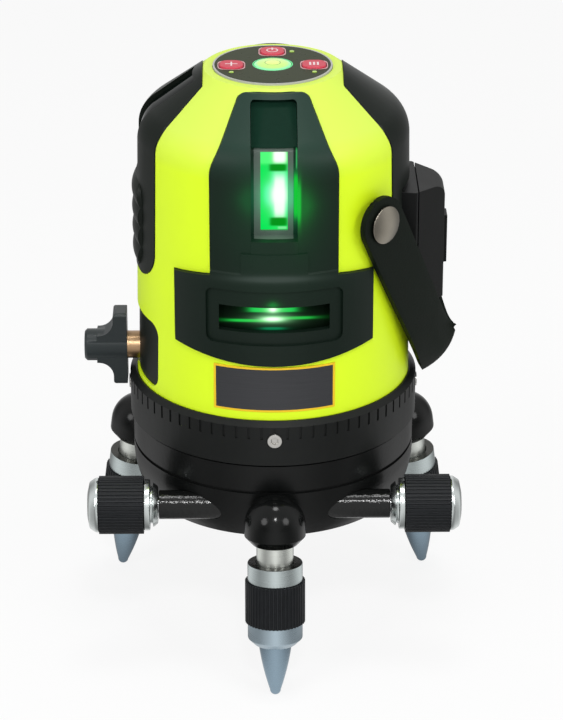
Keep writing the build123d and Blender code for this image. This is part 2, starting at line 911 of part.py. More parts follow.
with BuildPart() as ring_screws:
    for plane in ring_screw_planes:
        with BuildSketch(plane.offset(screw_seat_r)):
            Circle(ring_screw_head_r)
        extrude(amount=ring_screw_head_t)
        with BuildSketch(plane.offset(screw_end_r)):
            Circle(ring_screw_r)
        extrude(amount=ring_screw_len)
        with BuildSketch(plane.offset(screw_seat_r + ring_screw_head_t)):
            RegularPolygon(ring_socket_flats / 2, 6, major_radius=False)
        extrude(amount=-ring_socket_depth, mode=Mode.SUBTRACT)
save(ring_screws, "ring_screws")

# Outlines of what fills the openings of the cover, as seen square on
arch_outline = [
    (-arch_half, low_side_z),
    (arch_half, low_side_z),
    (arch_half, arch_knee_z),
    (arch_top_half, arch_top_z),
    (-arch_top_half, arch_top_z),
    (-arch_half, arch_knee_z),
]
arch_radii = [0, 0, arch_knee_round, arch_round, arch_round, arch_knee_round]
side_outline = [
    (-side_half, side_low_z),
    (side_half, side_low_z),
    (side_half, side_knee_z),
    (side_neck_half, side_neck_z),
    (side_neck_half, rim_z + reach),
    (-side_neck_half, rim_z + reach),
    (-side_neck_half, side_neck_z),
    (-side_half, side_knee_z),
]
side_upper_radii = [side_knee_round, arch_round, 0, 0, arch_round, side_knee_round]
side_radii = [side_low_round, side_low_round, *side_upper_radii]


def low_prism(grow=0.0):
    """Prism of the bezel's wide lower part: its bottom edge is an arc, its top edge rises to the arch."""
    with BuildPart() as solid:
        with BuildSketch(front_view.offset(bezel_root - grow)):
            with BuildLine():
                ThreePointArc((-low_half, low_side_z), (0, low_bottom_z), (low_half, low_side_z))
                Polyline(
                    (low_half, low_side_z),
                    (low_half, low_side_top_z),
                    (arch_half, low_top_z),
                    (-arch_half, low_top_z),
                    (-low_half, low_side_top_z),
                    (-low_half, low_side_z),
                )
            make_face()
            if grow:
                offset(amount=grow)
        extrude(amount=reach)
    return solid.part


def rectangle_outline(half, low_z, top_z):
    """Corners of an upright rectangle about the middle of a view."""
    return [(-half, low_z), (half, low_z), (half, top_z), (-half, top_z)]


lock_plate_outline = rectangle_outline(lock_plate_half, lock_plate_low_z, lock_plate_top_z)
lock_plate_radii = [lock_plate_round] * 4
dock_outline = rectangle_outline(box_half + dock_margin, box_low_z - dock_margin, box_top_z + dock_margin)
sharp = [0] * 4

# Rivets of the strap: their axes point straight out of the cover
rivet_turn = radians(rivet_turn_deg)
rivet_outs = [Vector(sin(rivet_turn), side * cos(rivet_turn), 0) for side in (-1, 1)]
strap_inner_r = rivet_seat_r + strap_seat

# Body cover: a thin wall of revolution, open where the bezels, escutcheon, dock and keypad go
with BuildPart() as body_shell:
    add(cover_band(-shell_wall, 0))
    add(prism(front_view, arch_outline, arch_radii, fit_gap), mode=Mode.SUBTRACT)
    add(low_prism(fit_gap), mode=Mode.SUBTRACT)
    for view in (left_view, right_view, rear_view):
        add(prism(view, side_outline, side_radii, fit_gap), mode=Mode.SUBTRACT)
    add(prism(left_view, lock_plate_outline, lock_plate_radii, fit_gap), mode=Mode.SUBTRACT)
    add(prism(right_view, dock_outline, sharp, fit_gap), mode=Mode.SUBTRACT)
    with BuildSketch(Plane.XY.offset(panel_seat_z)):
        Circle(panel_r + fit_gap)
    extrude(amount=reach, mode=Mode.SUBTRACT)
    with BuildSketch(Plane.XY.offset(rim_z - 2 * shell_wall)):
        Circle(panel_hole_r)
    extrude(amount=reach, mode=Mode.SUBTRACT)
    add(screw_holes(0, ring_screw_r + fit_gap), mode=Mode.SUBTRACT)
    for out in rivet_outs:
        rivet_foot = Vector(0, 0, rivet_z)
        add(rod(rivet_foot, rivet_foot + out * reach, rivet_shank_r + fit_gap), mode=Mode.SUBTRACT)
save(body_shell, "body_shell")

# Front bezel: arch round the tall slot, wide lower part round the horizontal window, two low steps between
slot_outline = rectangle_outline(slot_half, slot_bottom_z, slot_top_z)
slot_radii = [0, 0, slot_round, slot_round]


def bezel_layer(outline, radii, proud):
    """Part of a bezel: the cover's wall and what stands proud of it, inside a front outline."""
    with BuildPart() as layer:
        add(cover_band(-shell_wall, proud))
        add(prism(front_view, outline, radii), mode=Mode.INTERSECT)
    return layer.part


with BuildPart() as front_bezel:
    add(bezel_layer(arch_outline, arch_radii, arch_proud))
    with BuildPart(mode=Mode.PRIVATE) as low_layer:
        add(cover_band(-shell_wall, low_proud))
        add(low_prism(), mode=Mode.INTERSECT)
    add(low_layer.part)
    with BuildPart(mode=Mode.PRIVATE) as brow:
        brow_foot_z = brow_z - brow_slope_h
        brow_section = [
            (shell_r - shell_draft, low_side_z),
            (shell_r + low_proud, low_side_z),
            (shell_r + low_proud, brow_foot_z),
            (shell_r - shell_draft, brow_foot_z + low_proud + shell_draft),
        ]
        add(turned(Plane.XZ, brow_section))
        brow_outline = rectangle_outline(arch_half, low_side_z, brow_z)
        add(bezel_layer(brow_outline, sharp, low_proud), mode=Mode.INTERSECT)
    add(brow.part)
    mid_outline = rectangle_outline(slot_half + sill_margin, low_side_z, sill_mid_z)
    add(bezel_layer(mid_outline, sharp, arch_proud + 2 * sill_step))
    sill_outline = rectangle_outline(slot_half, low_side_z, slot_bottom_z)
    add(bezel_layer(sill_outline, sharp, arch_proud + sill_step))
    add(prism(front_view, slot_outline, slot_radii), mode=Mode.SUBTRACT)
    line_outline = rectangle_outline(line_half, line_low_z, line_top_z)
    add(prism(front_view, line_outline, sharp), mode=Mode.SUBTRACT)
    with BuildPart(mode=Mode.PRIVATE) as recess:
        add(cover_band(low_proud - recess_depth, low_proud + recess_depth))
        recess_outline = rectangle_outline(line_half + recess_margin, recess_low_z, recess_top_z)
        add(prism(front_view, recess_outline, [recess_round] * 4), mode=Mode.INTERSECT)
    add(recess.part, mode=Mode.SUBTRACT)
save(front_bezel, "front_bezel")

# Window frame: a tray behind the tall slot, with the opening that the vertical line leaves through
with BuildPart() as window_frame:
    frame_low_z = slot_bottom_z - frame_wall
    tray_half = slot_half + frame_wall
    add(cover_form(-shell_wall - fit_gap, skirt_z))
    tray_high = (tray_half, -frame_face_y + frame_back, frame_top_z)
    add(block((-tray_half, -reach, frame_low_z), tray_high), mode=Mode.INTERSECT)
    pocket_high = (slot_half, -frame_face_y, frame_top_z)
    add(block((-slot_half, -reach, slot_bottom_z), pocket_high), mode=Mode.SUBTRACT)
    add(block((-eye_half, -reach, eye_low_z), (eye_half, 0, eye_top_z)), mode=Mode.SUBTRACT)
save(window_frame, "window_frame")

with BuildPart() as front_glass:
    glass_half = eye_half + pane_margin
    glass_y = -frame_face_y + frame_back + fit_gap
    glass_low = (-glass_half, glass_y, eye_low_z - pane_margin)
    add(block(glass_low, (glass_half, glass_y + pane_t, min(eye_top_z + pane_margin, frame_top_z))))
save(front_glass, "front_glass")

# Dark pane that closes the slot above the window frame, following the shoulder
with BuildPart() as upper_glass:
    add(cover_band(-upper_pane_sink - pane_t, -upper_pane_sink))
    upper_outline = rectangle_outline(slot_half - fit_gap, frame_top_z + fit_gap, slot_top_z - fit_gap)
    upper_radii = [0, 0, slot_round - fit_gap, slot_round - fit_gap]
    add(prism(front_view, upper_outline, upper_radii), mode=Mode.INTERSECT)
save(upper_glass, "upper_glass")

with BuildPart() as line_glass:
    add(cover_band(-shell_wall - fit_gap - pane_t, -shell_wall - fit_gap))
    pane_half = line_half + pane_margin
    pane_outline = rectangle_outline(pane_half, line_low_z - pane_margin, line_top_z + pane_margin)
    add(prism(front_view, pane_outline, sharp), mode=Mode.INTERSECT)
save(line_glass, "line_glass")


def grip_ribs(view):
    """Rounded finger ribs across the lower part of a side bezel."""
    rib_low_z = rib_first_z - rib_pitch
    rib_outline = rectangle_outline(rib_half, rib_low_z, rib_low_z + (rib_count + 1) * rib_pitch)
    with BuildPart() as ribs:
        for count in range(rib_count):
            with Locations((0, 0, rib_first_z + count * rib_pitch)):
                Torus(shell_r + rib_proud - rib_r, rib_r)
        add(prism(view, rib_outline, [side_low_round] * 4), mode=Mode.INTERSECT)
    return ribs.part


def side_bezel(view):
    """Side bezel without its ribs: the wall inside the side outline, a little proud of the cover."""
    with BuildPart() as bezel:
        add(cover_band(-shell_wall, side_proud))
        add(prism(view, side_outline, side_radii), mode=Mode.INTERSECT)
    return bezel.part


side_slot_outline = rectangle_outline(slot_half, side_slot_low_z, slot_top_z)
with BuildPart() as left_bezel:
    add(side_bezel(left_view))
    add(grip_ribs(left_view))
    add(prism(left_view, side_slot_outline, slot_radii), mode=Mode.SUBTRACT)
    add(cover_form(-shell_wall, skirt_z), mode=Mode.SUBTRACT)
save(left_bezel, "left_bezel")

with BuildPart() as left_glass:
    add(cover_band(-shell_wall, -side_pane_sink))
    side_pane = rectangle_outline(slot_half - fit_gap, side_slot_low_z + fit_gap, slot_top_z - fit_gap)
    add(prism(left_view, side_pane, upper_radii), mode=Mode.INTERSECT)
save(left_glass, "left_glass")

with BuildPart() as right_bezel:
    add(side_bezel(right_view))
    add(prism(right_view, dock_outline, sharp, fit_gap), mode=Mode.SUBTRACT)
save(right_bezel, "right_bezel")

with BuildPart() as rear_grip:
    add(side_bezel(rear_view))
    add(grip_ribs(rear_view))
    add(cover_form(-shell_wall, skirt_z), mode=Mode.SUBTRACT)
save(rear_grip, "rear_grip")

with BuildPart() as name_plate:
    add(cover_band(0, plate_proud))
    plate_outline = rectangle_outline(plate_half, plate_low_z, plate_top_z)
    add(prism(front_view, plate_outline, sharp), mode=Mode.INTERSECT)
save(name_plate, "name_plate")

# Lock escutcheon with a boss that carries the lock shaft
with BuildPart() as lock_plate:
    boss_end_x = shell_r - shell_wall - lock_boss_len
    add(cover_band(-shell_wall - lock_plate_sink, -lock_plate_sink))
    add(prism(left_view, lock_plate_outline, lock_plate_radii), mode=Mode.INTERSECT)
    with BuildPart(mode=Mode.PRIVATE) as lock_boss:
        add(rod((-boss_end_x, 0, lock_z), (-shell_r, 0, lock_z), lock_boss_r))
        add(cover_form(-shell_wall - fit_gap, skirt_z), mode=Mode.INTERSECT)
    add(lock_boss.part)
    add(rod((0, 0, lock_z), (-reach, 0, lock_z), lock_shaft_r + run_gap), mode=Mode.SUBTRACT)
    step_start = (-lock_step_x + slide_gap, 0, lock_z)
    add(rod(step_start, (-reach, 0, lock_z), lock_neck_r + run_gap), mode=Mode.SUBTRACT)
save(lock_plate, "lock_plate")

with BuildPart() as lock_shaft:
    add(rod((cam_w / 2, 0, lock_z), (-lock_step_x, 0, lock_z), lock_shaft_r))
    add(rod((-lock_step_x, 0, lock_z), (-lock_bar_x, 0, lock_z), lock_neck_r))
    add(rod((-lock_bar_x, 0, lock_z), (-lock_bar_x - lock_bar_t, 0, lock_z), lock_shaft_r))
    add(rod((-cam_w / 2, cam_throw, lock_z), (cam_w / 2, cam_throw, lock_z), cam_r))
save(lock_shaft, "lock_shaft")

# Wing knob: a bar across the shaft that flares into a round hub
with BuildPart() as lock_knob:
    bar_half = lock_bar_len / 2
    web_half = lock_hub_r - lock_web_inset
    web_end_x = lock_hub_x + lock_flare + lock_web_inset
    bar_radii = [lock_web_inset, lock_bar_round, lock_flare, 0]
    with BuildSketch(Plane.XZ.offset(-lock_bar_w / 2)):
        with BuildLine():
            FilletPolyline(
                (-lock_bar_x, lock_z + bar_half),
                (-lock_hub_x, lock_z + bar_half),
                (-lock_hub_x, lock_z + web_half),
                (-web_end_x, lock_z + web_half),
                (-web_end_x, lock_z - web_half),
                (-lock_hub_x, lock_z - web_half),
                (-lock_hub_x, lock_z - bar_half),
                (-lock_bar_x, lock_z - bar_half),
                radius=bar_radii + bar_radii[::-1],
                close=True,
            )
        make_face()
    extrude(amount=lock_bar_w)
    with BuildSketch(Plane((-lock_bar_x, 0, lock_z), x_dir=(0, 1, 0), z_dir=(-1, 0, 0))):
        RectangleRounded(lock_bar_w, lock_bar_len, lock_bar_round)
    extrude(amount=lock_hub_end_x - lock_bar_x, mode=Mode.INTERSECT)
    hub_section = Plane((0, 0, lock_z), x_dir=(0, 0, 1), z_dir=(0, -1, 0))
    hub_outline = [
        (0, lock_bar_x),
        (lock_hub_r, lock_bar_x),
        (lock_hub_r, lock_hub_end_x - lock_hub_edge),
        (lock_hub_r - lock_hub_edge, lock_hub_end_x),
        (0, lock_hub_end_x),
    ]
    add(turned(hub_section, hub_outline))
    knob_hole_x = lock_hub_x + fit_gap
    add(rod((-lock_bar_x, 0, lock_z), (-knob_hole_x, 0, lock_z), lock_shaft_r + fit_gap), mode=Mode.SUBTRACT)
save(lock_knob, "lock_knob")

# Keypad: panel with openings for its keys, vial and lamps, over a round key board
key_spots = {
    "left_key": (-side_key_x, side_key_y),
    "right_key": (side_key_x, side_key_y),
    "top_key": (0, top_key_y),
}
key_rotations = {"left_key": 90, "right_key": 90, "top_key": 0}
lamp_spots = [
    (-side_key_x, side_key_y - lamp_drop),
    (side_key_x, side_key_y - lamp_drop),
    (lamp_beside, top_key_y),
]
board_top_z = panel_seat_z - board_drop
key_hole = key_size + 2 * slide_gap
with BuildPart() as keypad_panel:
    with BuildSketch(Plane.XY.offset(panel_seat_z)):
        Circle(panel_r)
        with Locations(*key_spots.values()):
            RectangleRounded(key_hole, key_hole, key_round, mode=Mode.SUBTRACT)
        with Locations(*lamp_spots):
            Circle(lamp_r + fit_gap, mode=Mode.SUBTRACT)
        Circle(vial_r + fit_gap, mode=Mode.SUBTRACT)
    extrude(amount=panel_t)
save(keypad_panel, "keypad_panel")

with BuildPart() as key_board:
    with BuildSketch(Plane.XY.offset(board_top_z - board_t)):
        Circle(panel_r)
    extrude(amount=board_t)
    with BuildSketch(Plane.XY.offset(board_top_z)):
        Circle(panel_r)
        Circle(panel_hole_r + fit_gap, mode=Mode.SUBTRACT)
    extrude(amount=rim_z - shell_wall - board_top_z)
save(key_board, "key_board")

for name, spot in key_spots.items():
    with BuildPart() as key:
        flange_top_z = panel_seat_z - run_gap
        with BuildSketch(Plane.XY.offset(flange_top_z - key_flange_t)):
            with Locations(spot):
                Rectangle(key_size + 2 * key_flange, key_size, rotation=key_rotations[name])
        extrude(amount=key_flange_t)
        with BuildSketch(Plane.XY.offset(flange_top_z)):
            with Locations(spot):
                RectangleRounded(key_size, key_size, key_round)
        extrude(amount=panel_top_z + key_proud - flange_top_z)
        chamfer(key.faces().sort_by(Axis.Z)[-1].edges(), length=key_edge)
    save(key, name)

with BuildPart() as bubble_vial:
    vial_h = panel_top_z + vial_proud - board_top_z
    add(domed(Vector(0, 0, board_top_z), Vector(0, 0, 1), vial_r, vial_h, vial_crown))
save(bubble_vial, "bubble_vial")

with BuildPart() as status_lamps:
    with BuildSketch(Plane.XY.offset(board_top_z)):
        with Locations(*lamp_spots):
            Circle(lamp_r)
    extrude(amount=panel_top_z + lamp_proud - board_top_z)
save(status_lamps, "status_lamps")

# Battery dock: a flat panel in the cover's right side, which the battery case is fixed to
with BuildPart() as battery_dock:
    dock_low = (box_back_x - fit_gap - dock_t, -box_half - dock_margin, box_low_z - dock_margin)
    add(block(dock_low, (box_back_x - fit_gap, box_half + dock_margin, box_top_z + dock_margin)))
    add(cover_form(0, skirt_z), mode=Mode.INTERSECT)
save(battery_dock, "battery_dock")


def box_profile(shrink_top):
    """Side profile of the battery box: it slopes down outwards and has a rounded outer edge."""
    with BuildPart() as profile:
        with BuildSketch(Plane.XZ.offset(-reach)):
            with BuildLine():
                FilletPolyline(
                    (box_back_x, box_low_z),
                    (box_face_x, box_low_z),
                    (box_face_x, box_top_z - box_slope - shrink_top),
                    (box_back_x, box_top_z - shrink_top),
                    radius=[0, 0, box_round, 0],
                    close=True,
                )
            make_face()
        extrude(amount=2 * reach)
    return profile.part


def box_plan(outline):
    """Upright prism over the battery box's height from half of its plan, given from back to face."""
    mirrored = [(x, -y) for x, y in reversed(outline)]
    with BuildPart() as plan:
        with BuildSketch(Plane.XY.offset(box_low_z)):
            with BuildLine():
                Polyline(*outline, *mirrored, close=True)
            make_face()
        extrude(amount=box_top_z - box_low_z)
    return plan.part


lip_x = cover_back_x + cover_lip_t
with BuildPart() as battery_case:
    shoulder_x = cover_back_x - slide_gap
    add(
        box_plan(
            [
                (box_back_x, box_half),
                (box_diagonal - box_half, box_half),
                (shoulder_x, box_diagonal - shoulder_x),
                (shoulder_x, case_side - lip_x - cover_lip),
                (lip_x + slide_gap, case_side - lip_x - cover_lip),
                (lip_x + slide_gap, case_side - lip_x - slide_gap),
                (case_front_x, case_side - case_front_x),
            ]
        )
    )
    with BuildPart(mode=Mode.PRIVATE) as case_sides:
        add(box_profile(0))
        add(block((shoulder_x, -reach, box_low_z), (reach, reach, box_top_z)), mode=Mode.SUBTRACT)
        add(box_profile(cover_top_t + slide_gap))
    add(case_sides.part, mode=Mode.INTERSECT)
    bay_low_z = box_low_z + case_wall
    bay_high = (reach, cell_half + fit_gap, bay_low_z + cell_h + 2 * fit_gap)
    add(block((box_back_x + case_wall, -cell_half - fit_gap, bay_low_z), bay_high), mode=Mode.SUBTRACT)
save(battery_case, "battery_case")

with BuildPart() as battery_cells:
    bay_depth = case_front_x - box_back_x - case_wall
    cell_t = bay_depth / cell_count - fit_gap
    for count in range(cell_count):
        cell_x = box_back_x + case_wall + fit_gap + count * (cell_t + fit_gap / 2)
        cell_low = (cell_x, -cell_half, bay_low_z + fit_gap)
        add(block(cell_low, (cell_x + cell_t - fit_gap, cell_half, bay_low_z + fit_gap + cell_h)))
save(battery_cells, "battery_cells")

# Battery cover: a sliding hood with lips that run in the case's grooves
with BuildPart() as battery_cover:
    inner_side = box_diagonal - sqrt(2) * cover_side_t
    inner_x = box_face_x - cover_face_t
    add(box_plan([(cover_back_x, box_diagonal - cover_back_x), (box_face_x, box_diagonal - box_face_x)]))
    add(box_profile(0), mode=Mode.INTERSECT)
    with BuildPart(mode=Mode.PRIVATE) as hood_inside:
        lip_half = inner_side - lip_x - cover_lip
        add(
            box_plan(
                [
                    (cover_back_x, lip_half),
                    (lip_x, lip_half),
                    (lip_x, inner_side - lip_x),
                    (inner_x, inner_side - inner_x),
                ]
            )
        )
        add(box_profile(cover_top_t), mode=Mode.INTERSECT)
    add(hood_inside.part, mode=Mode.SUBTRACT)
    pad_low = (box_face_x - cover_pad_t, -cover_pad_half, box_low_z + cover_pad_low)
    add(block(pad_low, (box_face_x + cover_pad_t, cover_pad_half, box_low_z + cover_pad_top)))
save(battery_cover, "battery_cover")

# Carrying strap: a flat band that leaves each rivet along the cover and hangs in a loop round the battery box
strap_mid_r = strap_inner_r + strap_t / 2
strap_end = rivet_outs[1] * strap_mid_r
strap_low_z = rivet_z - strap_drop
strap_lean = radians(strap_lean_deg)
bend_out = Vector(cos(strap_lean), 0, -sin(strap_lean))
strap_plan_x = strap_end.X + sqrt(strap_end.Y**2 + strap_bend_plan**2)
strap_rise = (rivet_z - strap_low_z) / (sqrt(strap_end.Y**2 + strap_bend_rise**2) - strap_bend_rise)


def strap_plane(share):
    """Cross-section plane of the strap, for a share of -1 to 1 of the way between the rivets."""
    y = share * strap_end.Y
    plan_root = sqrt(y**2 + strap_bend_plan**2)
    rise_root = sqrt(y**2 + strap_bend_rise**2)
    centre = Vector(strap_plan_x - plan_root, y, strap_low_z + strap_rise * (rise_root - strap_bend_rise))
    along = Vector(-y / plan_root, 1, strap_rise * y / rise_root).normalized()
    rivet_out = rivet_outs[1] if share > 0 else rivet_outs[0]
    hold = abs(share) ** 2 * (3 - 2 * abs(share))
    out = rivet_out * hold + bend_out * (1 - hold)
    out = (out - along * out.dot(along)).normalized()
    return Plane(centre, x_dir=out.cross(along), z_dir=along)


with BuildPart() as carry_strap:
    for station in range(-strap_stations, strap_stations + 1):
        with BuildSketch(strap_plane(station / strap_stations)):
            Rectangle(strap_w, strap_t)
    loft()
    for out in rivet_outs:
        tab_low = out * (strap_inner_r - strap_pad) + Vector(0, 0, rivet_z)
        add(rod(tab_low, tab_low + out * (strap_t + 2 * strap_pad), strap_w / 2 + strap_pad))
    for out in rivet_outs:
        rivet_foot = Vector(0, 0, rivet_z)
        add(rod(rivet_foot, rivet_foot + out * reach, rivet_shank_r + fit_gap), mode=Mode.SUBTRACT)
save(carry_strap, "carry_strap")

with BuildPart() as strap_rivets:
    head_low_r = strap_inner_r + strap_t + strap_pad + slide_gap
    for out in rivet_outs:
        rivet_foot = Vector(0, 0, rivet_z)
        add(rod(rivet_foot + out * (rivet_seat_r - shell_wall), rivet_foot + out * head_low_r, rivet_shank_r))
        shoulder_low = rivet_foot + out * (rivet_seat_r + slide_gap)
        add(rod(shoulder_low, rivet_foot + out * (strap_inner_r - strap_pad - slide_gap), rivet_shoulder_r))
        add(domed(rivet_foot + out * head_low_r, out, rivet_head_r, rivet_head_t, rivet_crown))
save(strap_rivets, "strap_rivets")

# Gimbal frame: a ring deck on four posts, with the two outer pivot pins
with BuildPart() as gimbal_frame:
    with BuildSketch(Plane.XY.offset(pivot_z - deck_t / 2)):
        Circle(deck_r)
        Circle(deck_hole_r, mode=Mode.SUBTRACT)
    extrude(amount=deck_t)
    with BuildSketch(Plane.XY.offset(head_z + floor_t)):
        with PolarLocations(post_circle_r, 4, start_angle=45):
            Circle(post_r)
    extrude(amount=pivot_z - head_z - floor_t)
    for side in (-1, 1):
        pin_end = (side * (gimbal_r - gimbal_wall / 2), 0, pivot_z)
        add(rod((side * (deck_hole_r + pin_r), 0, pivot_z), pin_end, pin_r))
save(gimbal_frame, "gimbal_frame")

with BuildPart() as gimbal_ring:
    with BuildSketch(Plane.XY.offset(pivot_z - deck_t / 2)):
        Circle(gimbal_r)
        Circle(gimbal_r - gimbal_wall, mode=Mode.SUBTRACT)
    extrude(amount=deck_t)
    add(rod((-reach, 0, pivot_z), (reach, 0, pivot_z), pin_r + run_gap), mode=Mode.SUBTRACT)
    for side in (-1, 1):
        pin_end = (0, side * hanger_r / 2, pivot_z)
        add(rod((0, side * (gimbal_r - pin_r), pivot_z), pin_end, pin_r))
save(gimbal_ring, "gimbal_ring")

# Pendulum: hanger in the gimbal ring, column with the laser modules, and a round-bottomed weight
weight_low_z = lock_z + cam_throw + cam_r + cam_gap
swing_r = pivot_z - weight_low_z
with BuildPart() as pendulum:
    with BuildSketch(Plane.XY.offset(pivot_z - hanger_h / 2)):
        Circle(hanger_r)
    extrude(amount=hanger_h)
    column_low = (-column_half, -column_half, weight_low_z + weight_h / 2)
    add(block(column_low, (column_half, column_half, pivot_z - hanger_h / 2)))
    with BuildSketch(Plane.XY.offset(weight_low_z)):
        Circle(weight_r)
    extrude(amount=weight_h)
    with BuildPart(mode=Mode.PRIVATE) as swing_ball:
        with Locations((0, 0, pivot_z)):
            Sphere(swing_r)
    add(swing_ball.part, mode=Mode.INTERSECT)
    add(rod((0, -reach, pivot_z), (0, reach, pivot_z), pin_r + run_gap), mode=Mode.SUBTRACT)
save(pendulum, "pendulum")

beams = [
    ((0, -1, 0), tall_z, (1, 0, 0)),
    ((-1, 0, 0), tall_z, (0, 1, 0)),
    ((0, -1, 0), wide_z, (0, 0, 1)),
]
with BuildPart() as laser_modules:
    for beam, beam_z, _ in beams:
        module_start = Vector(*beam) * (column_half + run_gap) + Vector(0, 0, beam_z)
        add(rod(module_start, Vector(*beam) * module_reach + Vector(0, 0, beam_z), module_r))
save(laser_modules, "laser_modules")

with BuildPart() as laser_lenses:
    for beam, beam_z, lens_axis in beams:
        lens_centre = Vector(*beam) * (module_reach + lens_r + fit_gap) + Vector(0, 0, beam_z)
        lens_half = Vector(*lens_axis) * (lens_len / 2)
        add(rod(lens_centre - lens_half, lens_centre + lens_half, lens_r))
save(laser_lenses, "laser_lenses")

with BuildPart() as circuit_board:
    board_y = post_circle_r * sin(pi / 4) + post_r + run_gap
    board_low_z = head_z + main_board_low_up
    board_high = (main_board_half, board_y + board_t, board_low_z + main_board_h)
    add(block((-main_board_half, board_y, board_low_z), board_high))
save(circuit_board, "circuit_board")
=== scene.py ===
# Line laser level on a three-legged levelling base.
import json
from math import cos, pi, radians, sin, sqrt

import bpy
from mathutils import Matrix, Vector

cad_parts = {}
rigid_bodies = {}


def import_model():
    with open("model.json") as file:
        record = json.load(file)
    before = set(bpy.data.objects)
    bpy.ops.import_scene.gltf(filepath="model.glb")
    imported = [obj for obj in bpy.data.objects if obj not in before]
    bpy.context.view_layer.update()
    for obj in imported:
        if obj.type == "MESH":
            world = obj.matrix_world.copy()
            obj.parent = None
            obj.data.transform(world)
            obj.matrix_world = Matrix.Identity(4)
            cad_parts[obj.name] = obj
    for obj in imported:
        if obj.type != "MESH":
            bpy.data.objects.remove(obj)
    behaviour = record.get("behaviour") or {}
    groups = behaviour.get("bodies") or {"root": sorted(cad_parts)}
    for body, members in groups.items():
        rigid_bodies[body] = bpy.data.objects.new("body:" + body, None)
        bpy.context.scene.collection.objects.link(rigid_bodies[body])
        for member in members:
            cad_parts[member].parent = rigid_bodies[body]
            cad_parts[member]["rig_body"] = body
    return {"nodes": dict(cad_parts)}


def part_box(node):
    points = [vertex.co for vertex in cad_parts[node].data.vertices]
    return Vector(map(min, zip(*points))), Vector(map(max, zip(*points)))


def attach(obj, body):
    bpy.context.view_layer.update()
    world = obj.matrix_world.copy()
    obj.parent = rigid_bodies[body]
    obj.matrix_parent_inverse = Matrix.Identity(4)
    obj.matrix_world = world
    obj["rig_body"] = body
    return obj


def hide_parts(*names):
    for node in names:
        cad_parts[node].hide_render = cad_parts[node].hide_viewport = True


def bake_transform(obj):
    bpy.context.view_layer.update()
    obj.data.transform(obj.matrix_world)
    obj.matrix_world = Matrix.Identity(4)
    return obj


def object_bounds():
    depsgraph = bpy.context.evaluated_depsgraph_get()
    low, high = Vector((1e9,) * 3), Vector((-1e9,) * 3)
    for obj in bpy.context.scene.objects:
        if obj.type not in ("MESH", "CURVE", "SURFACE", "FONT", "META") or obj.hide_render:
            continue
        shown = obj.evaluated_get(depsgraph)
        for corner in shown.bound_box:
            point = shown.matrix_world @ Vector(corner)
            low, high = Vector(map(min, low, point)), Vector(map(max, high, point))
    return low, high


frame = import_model()
cad_box = [list(corner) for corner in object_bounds()]
nodes = frame["nodes"]

# Camera: a long lens a little over a metre away, just left of the middle, looking down on the front.
# Its aim is turned a little past the middle of the base, which places the object in the picture.
camera_away, camera_height = 1.11176, 0.557147
camera_turn, camera_aim, camera_tilt = radians(0.6), 0.0031, radians(65.63)
camera_lens, camera_sensor = 150, 36
bpy.ops.object.camera_add(
    location=(-camera_away * sin(camera_turn), -camera_away * cos(camera_turn), camera_height),
    rotation=(camera_tilt, 0, -camera_turn - camera_aim),
)
camera = bpy.context.object
camera.data.lens = camera_lens
camera.data.sensor_width = camera_sensor
bpy.context.scene.camera = camera
bpy.context.scene.view_settings.view_transform = "Standard"


# Studio: a pale floor, a white surround that is greyer in its four corners in reflections, and four lamps.
# The floor stands at the level of the foot tips and keeps the object's shadow.
class Value:
    """A socket of one finish. Python's operators on it add Math nodes, and node() adds any other."""

    def __init__(self, tree, socket):
        self.tree = tree
        self.socket = socket

    def node(self, kind, settings=None, inputs=None, output=0):
        made = self.tree.nodes.new("ShaderNode" + kind)
        for key, setting in (settings or {}).items():
            if key == "stops":
                while len(made.color_ramp.elements) < len(setting):
                    made.color_ramp.elements.new(0.5)
                for stop, (place, colour) in zip(made.color_ramp.elements, setting):
                    stop.position = place
                    stop.color = (*colour, 1)
            else:
                setattr(made, key, setting)
        self.fill(made, inputs or {})
        return Value(self.tree, made.outputs[output])

    def fill(self, made, inputs):
        for key, value in inputs.items():
            if isinstance(value, Value):
                self.tree.links.new(value.socket, made.inputs[key])
            elif isinstance(value, tuple) and made.inputs[key].type == "RGBA":
                made.inputs[key].default_value = (*value, 1)
            else:
                made.inputs[key].default_value = value

    def math(self, operation, first, second=0.0):
        return self.node("Math", {"operation": operation}, {0: first, 1: second})

    def __add__(self, other):
        return self.math("ADD", self, other)

    def __sub__(self, other):
        return self.math("SUBTRACT", self, other)

    def __rsub__(self, other):
        return self.math("SUBTRACT", other, self)

    def __mul__(self, other):
        return self.math("MULTIPLY", self, other)

    def __truediv__(self, other):
        return self.math("DIVIDE", self, other)

    def __rtruediv__(self, other):
        return self.math("DIVIDE", other, self)

    def __pow__(self, other):
        return self.math("POWER", self, other)

    def __gt__(self, other):
        return self.math("GREATER_THAN", self, other)

    def __lt__(self, other):
        return self.math("LESS_THAN", self, other)

    def __abs__(self):
        return self.math("ABSOLUTE", self)

    __radd__ = __add__
    __rmul__ = __mul__

    def larger(self, other):
        return self.math("MAXIMUM", self, other)

    def mix(self, first, second):
        """Two colours mixed by this value."""
        return self.node("Mix", {"data_type": "RGBA"}, {0: self, 6: first, 7: second}, 2)

    def noise(self, scale, detail=3.0):
        return self.node("TexNoise", None, {"Vector": self, "Scale": scale, "Detail": detail})

    def stretched(self, scale):
        return self.node("Mapping", None, {"Vector": self, "Scale": scale})

    def bump(self, height, strength, depth):
        return self.node("Bump", None, {"Height": height, "Strength": strength, "Distance": depth})

    def split(self):
        parts = self.node("SeparateXYZ", None, {0: self}).socket.node
        return [Value(self.tree, socket) for socket in parts.outputs]


def new_finish(name):
    """A new material, with its piece's own coordinates in metres."""
    finish = bpy.data.materials.new(name)
    finish.use_nodes = True
    coordinates = finish.node_tree.nodes.new("ShaderNodeTexCoord")
    return finish, Value(finish.node_tree, coordinates.outputs["Object"])


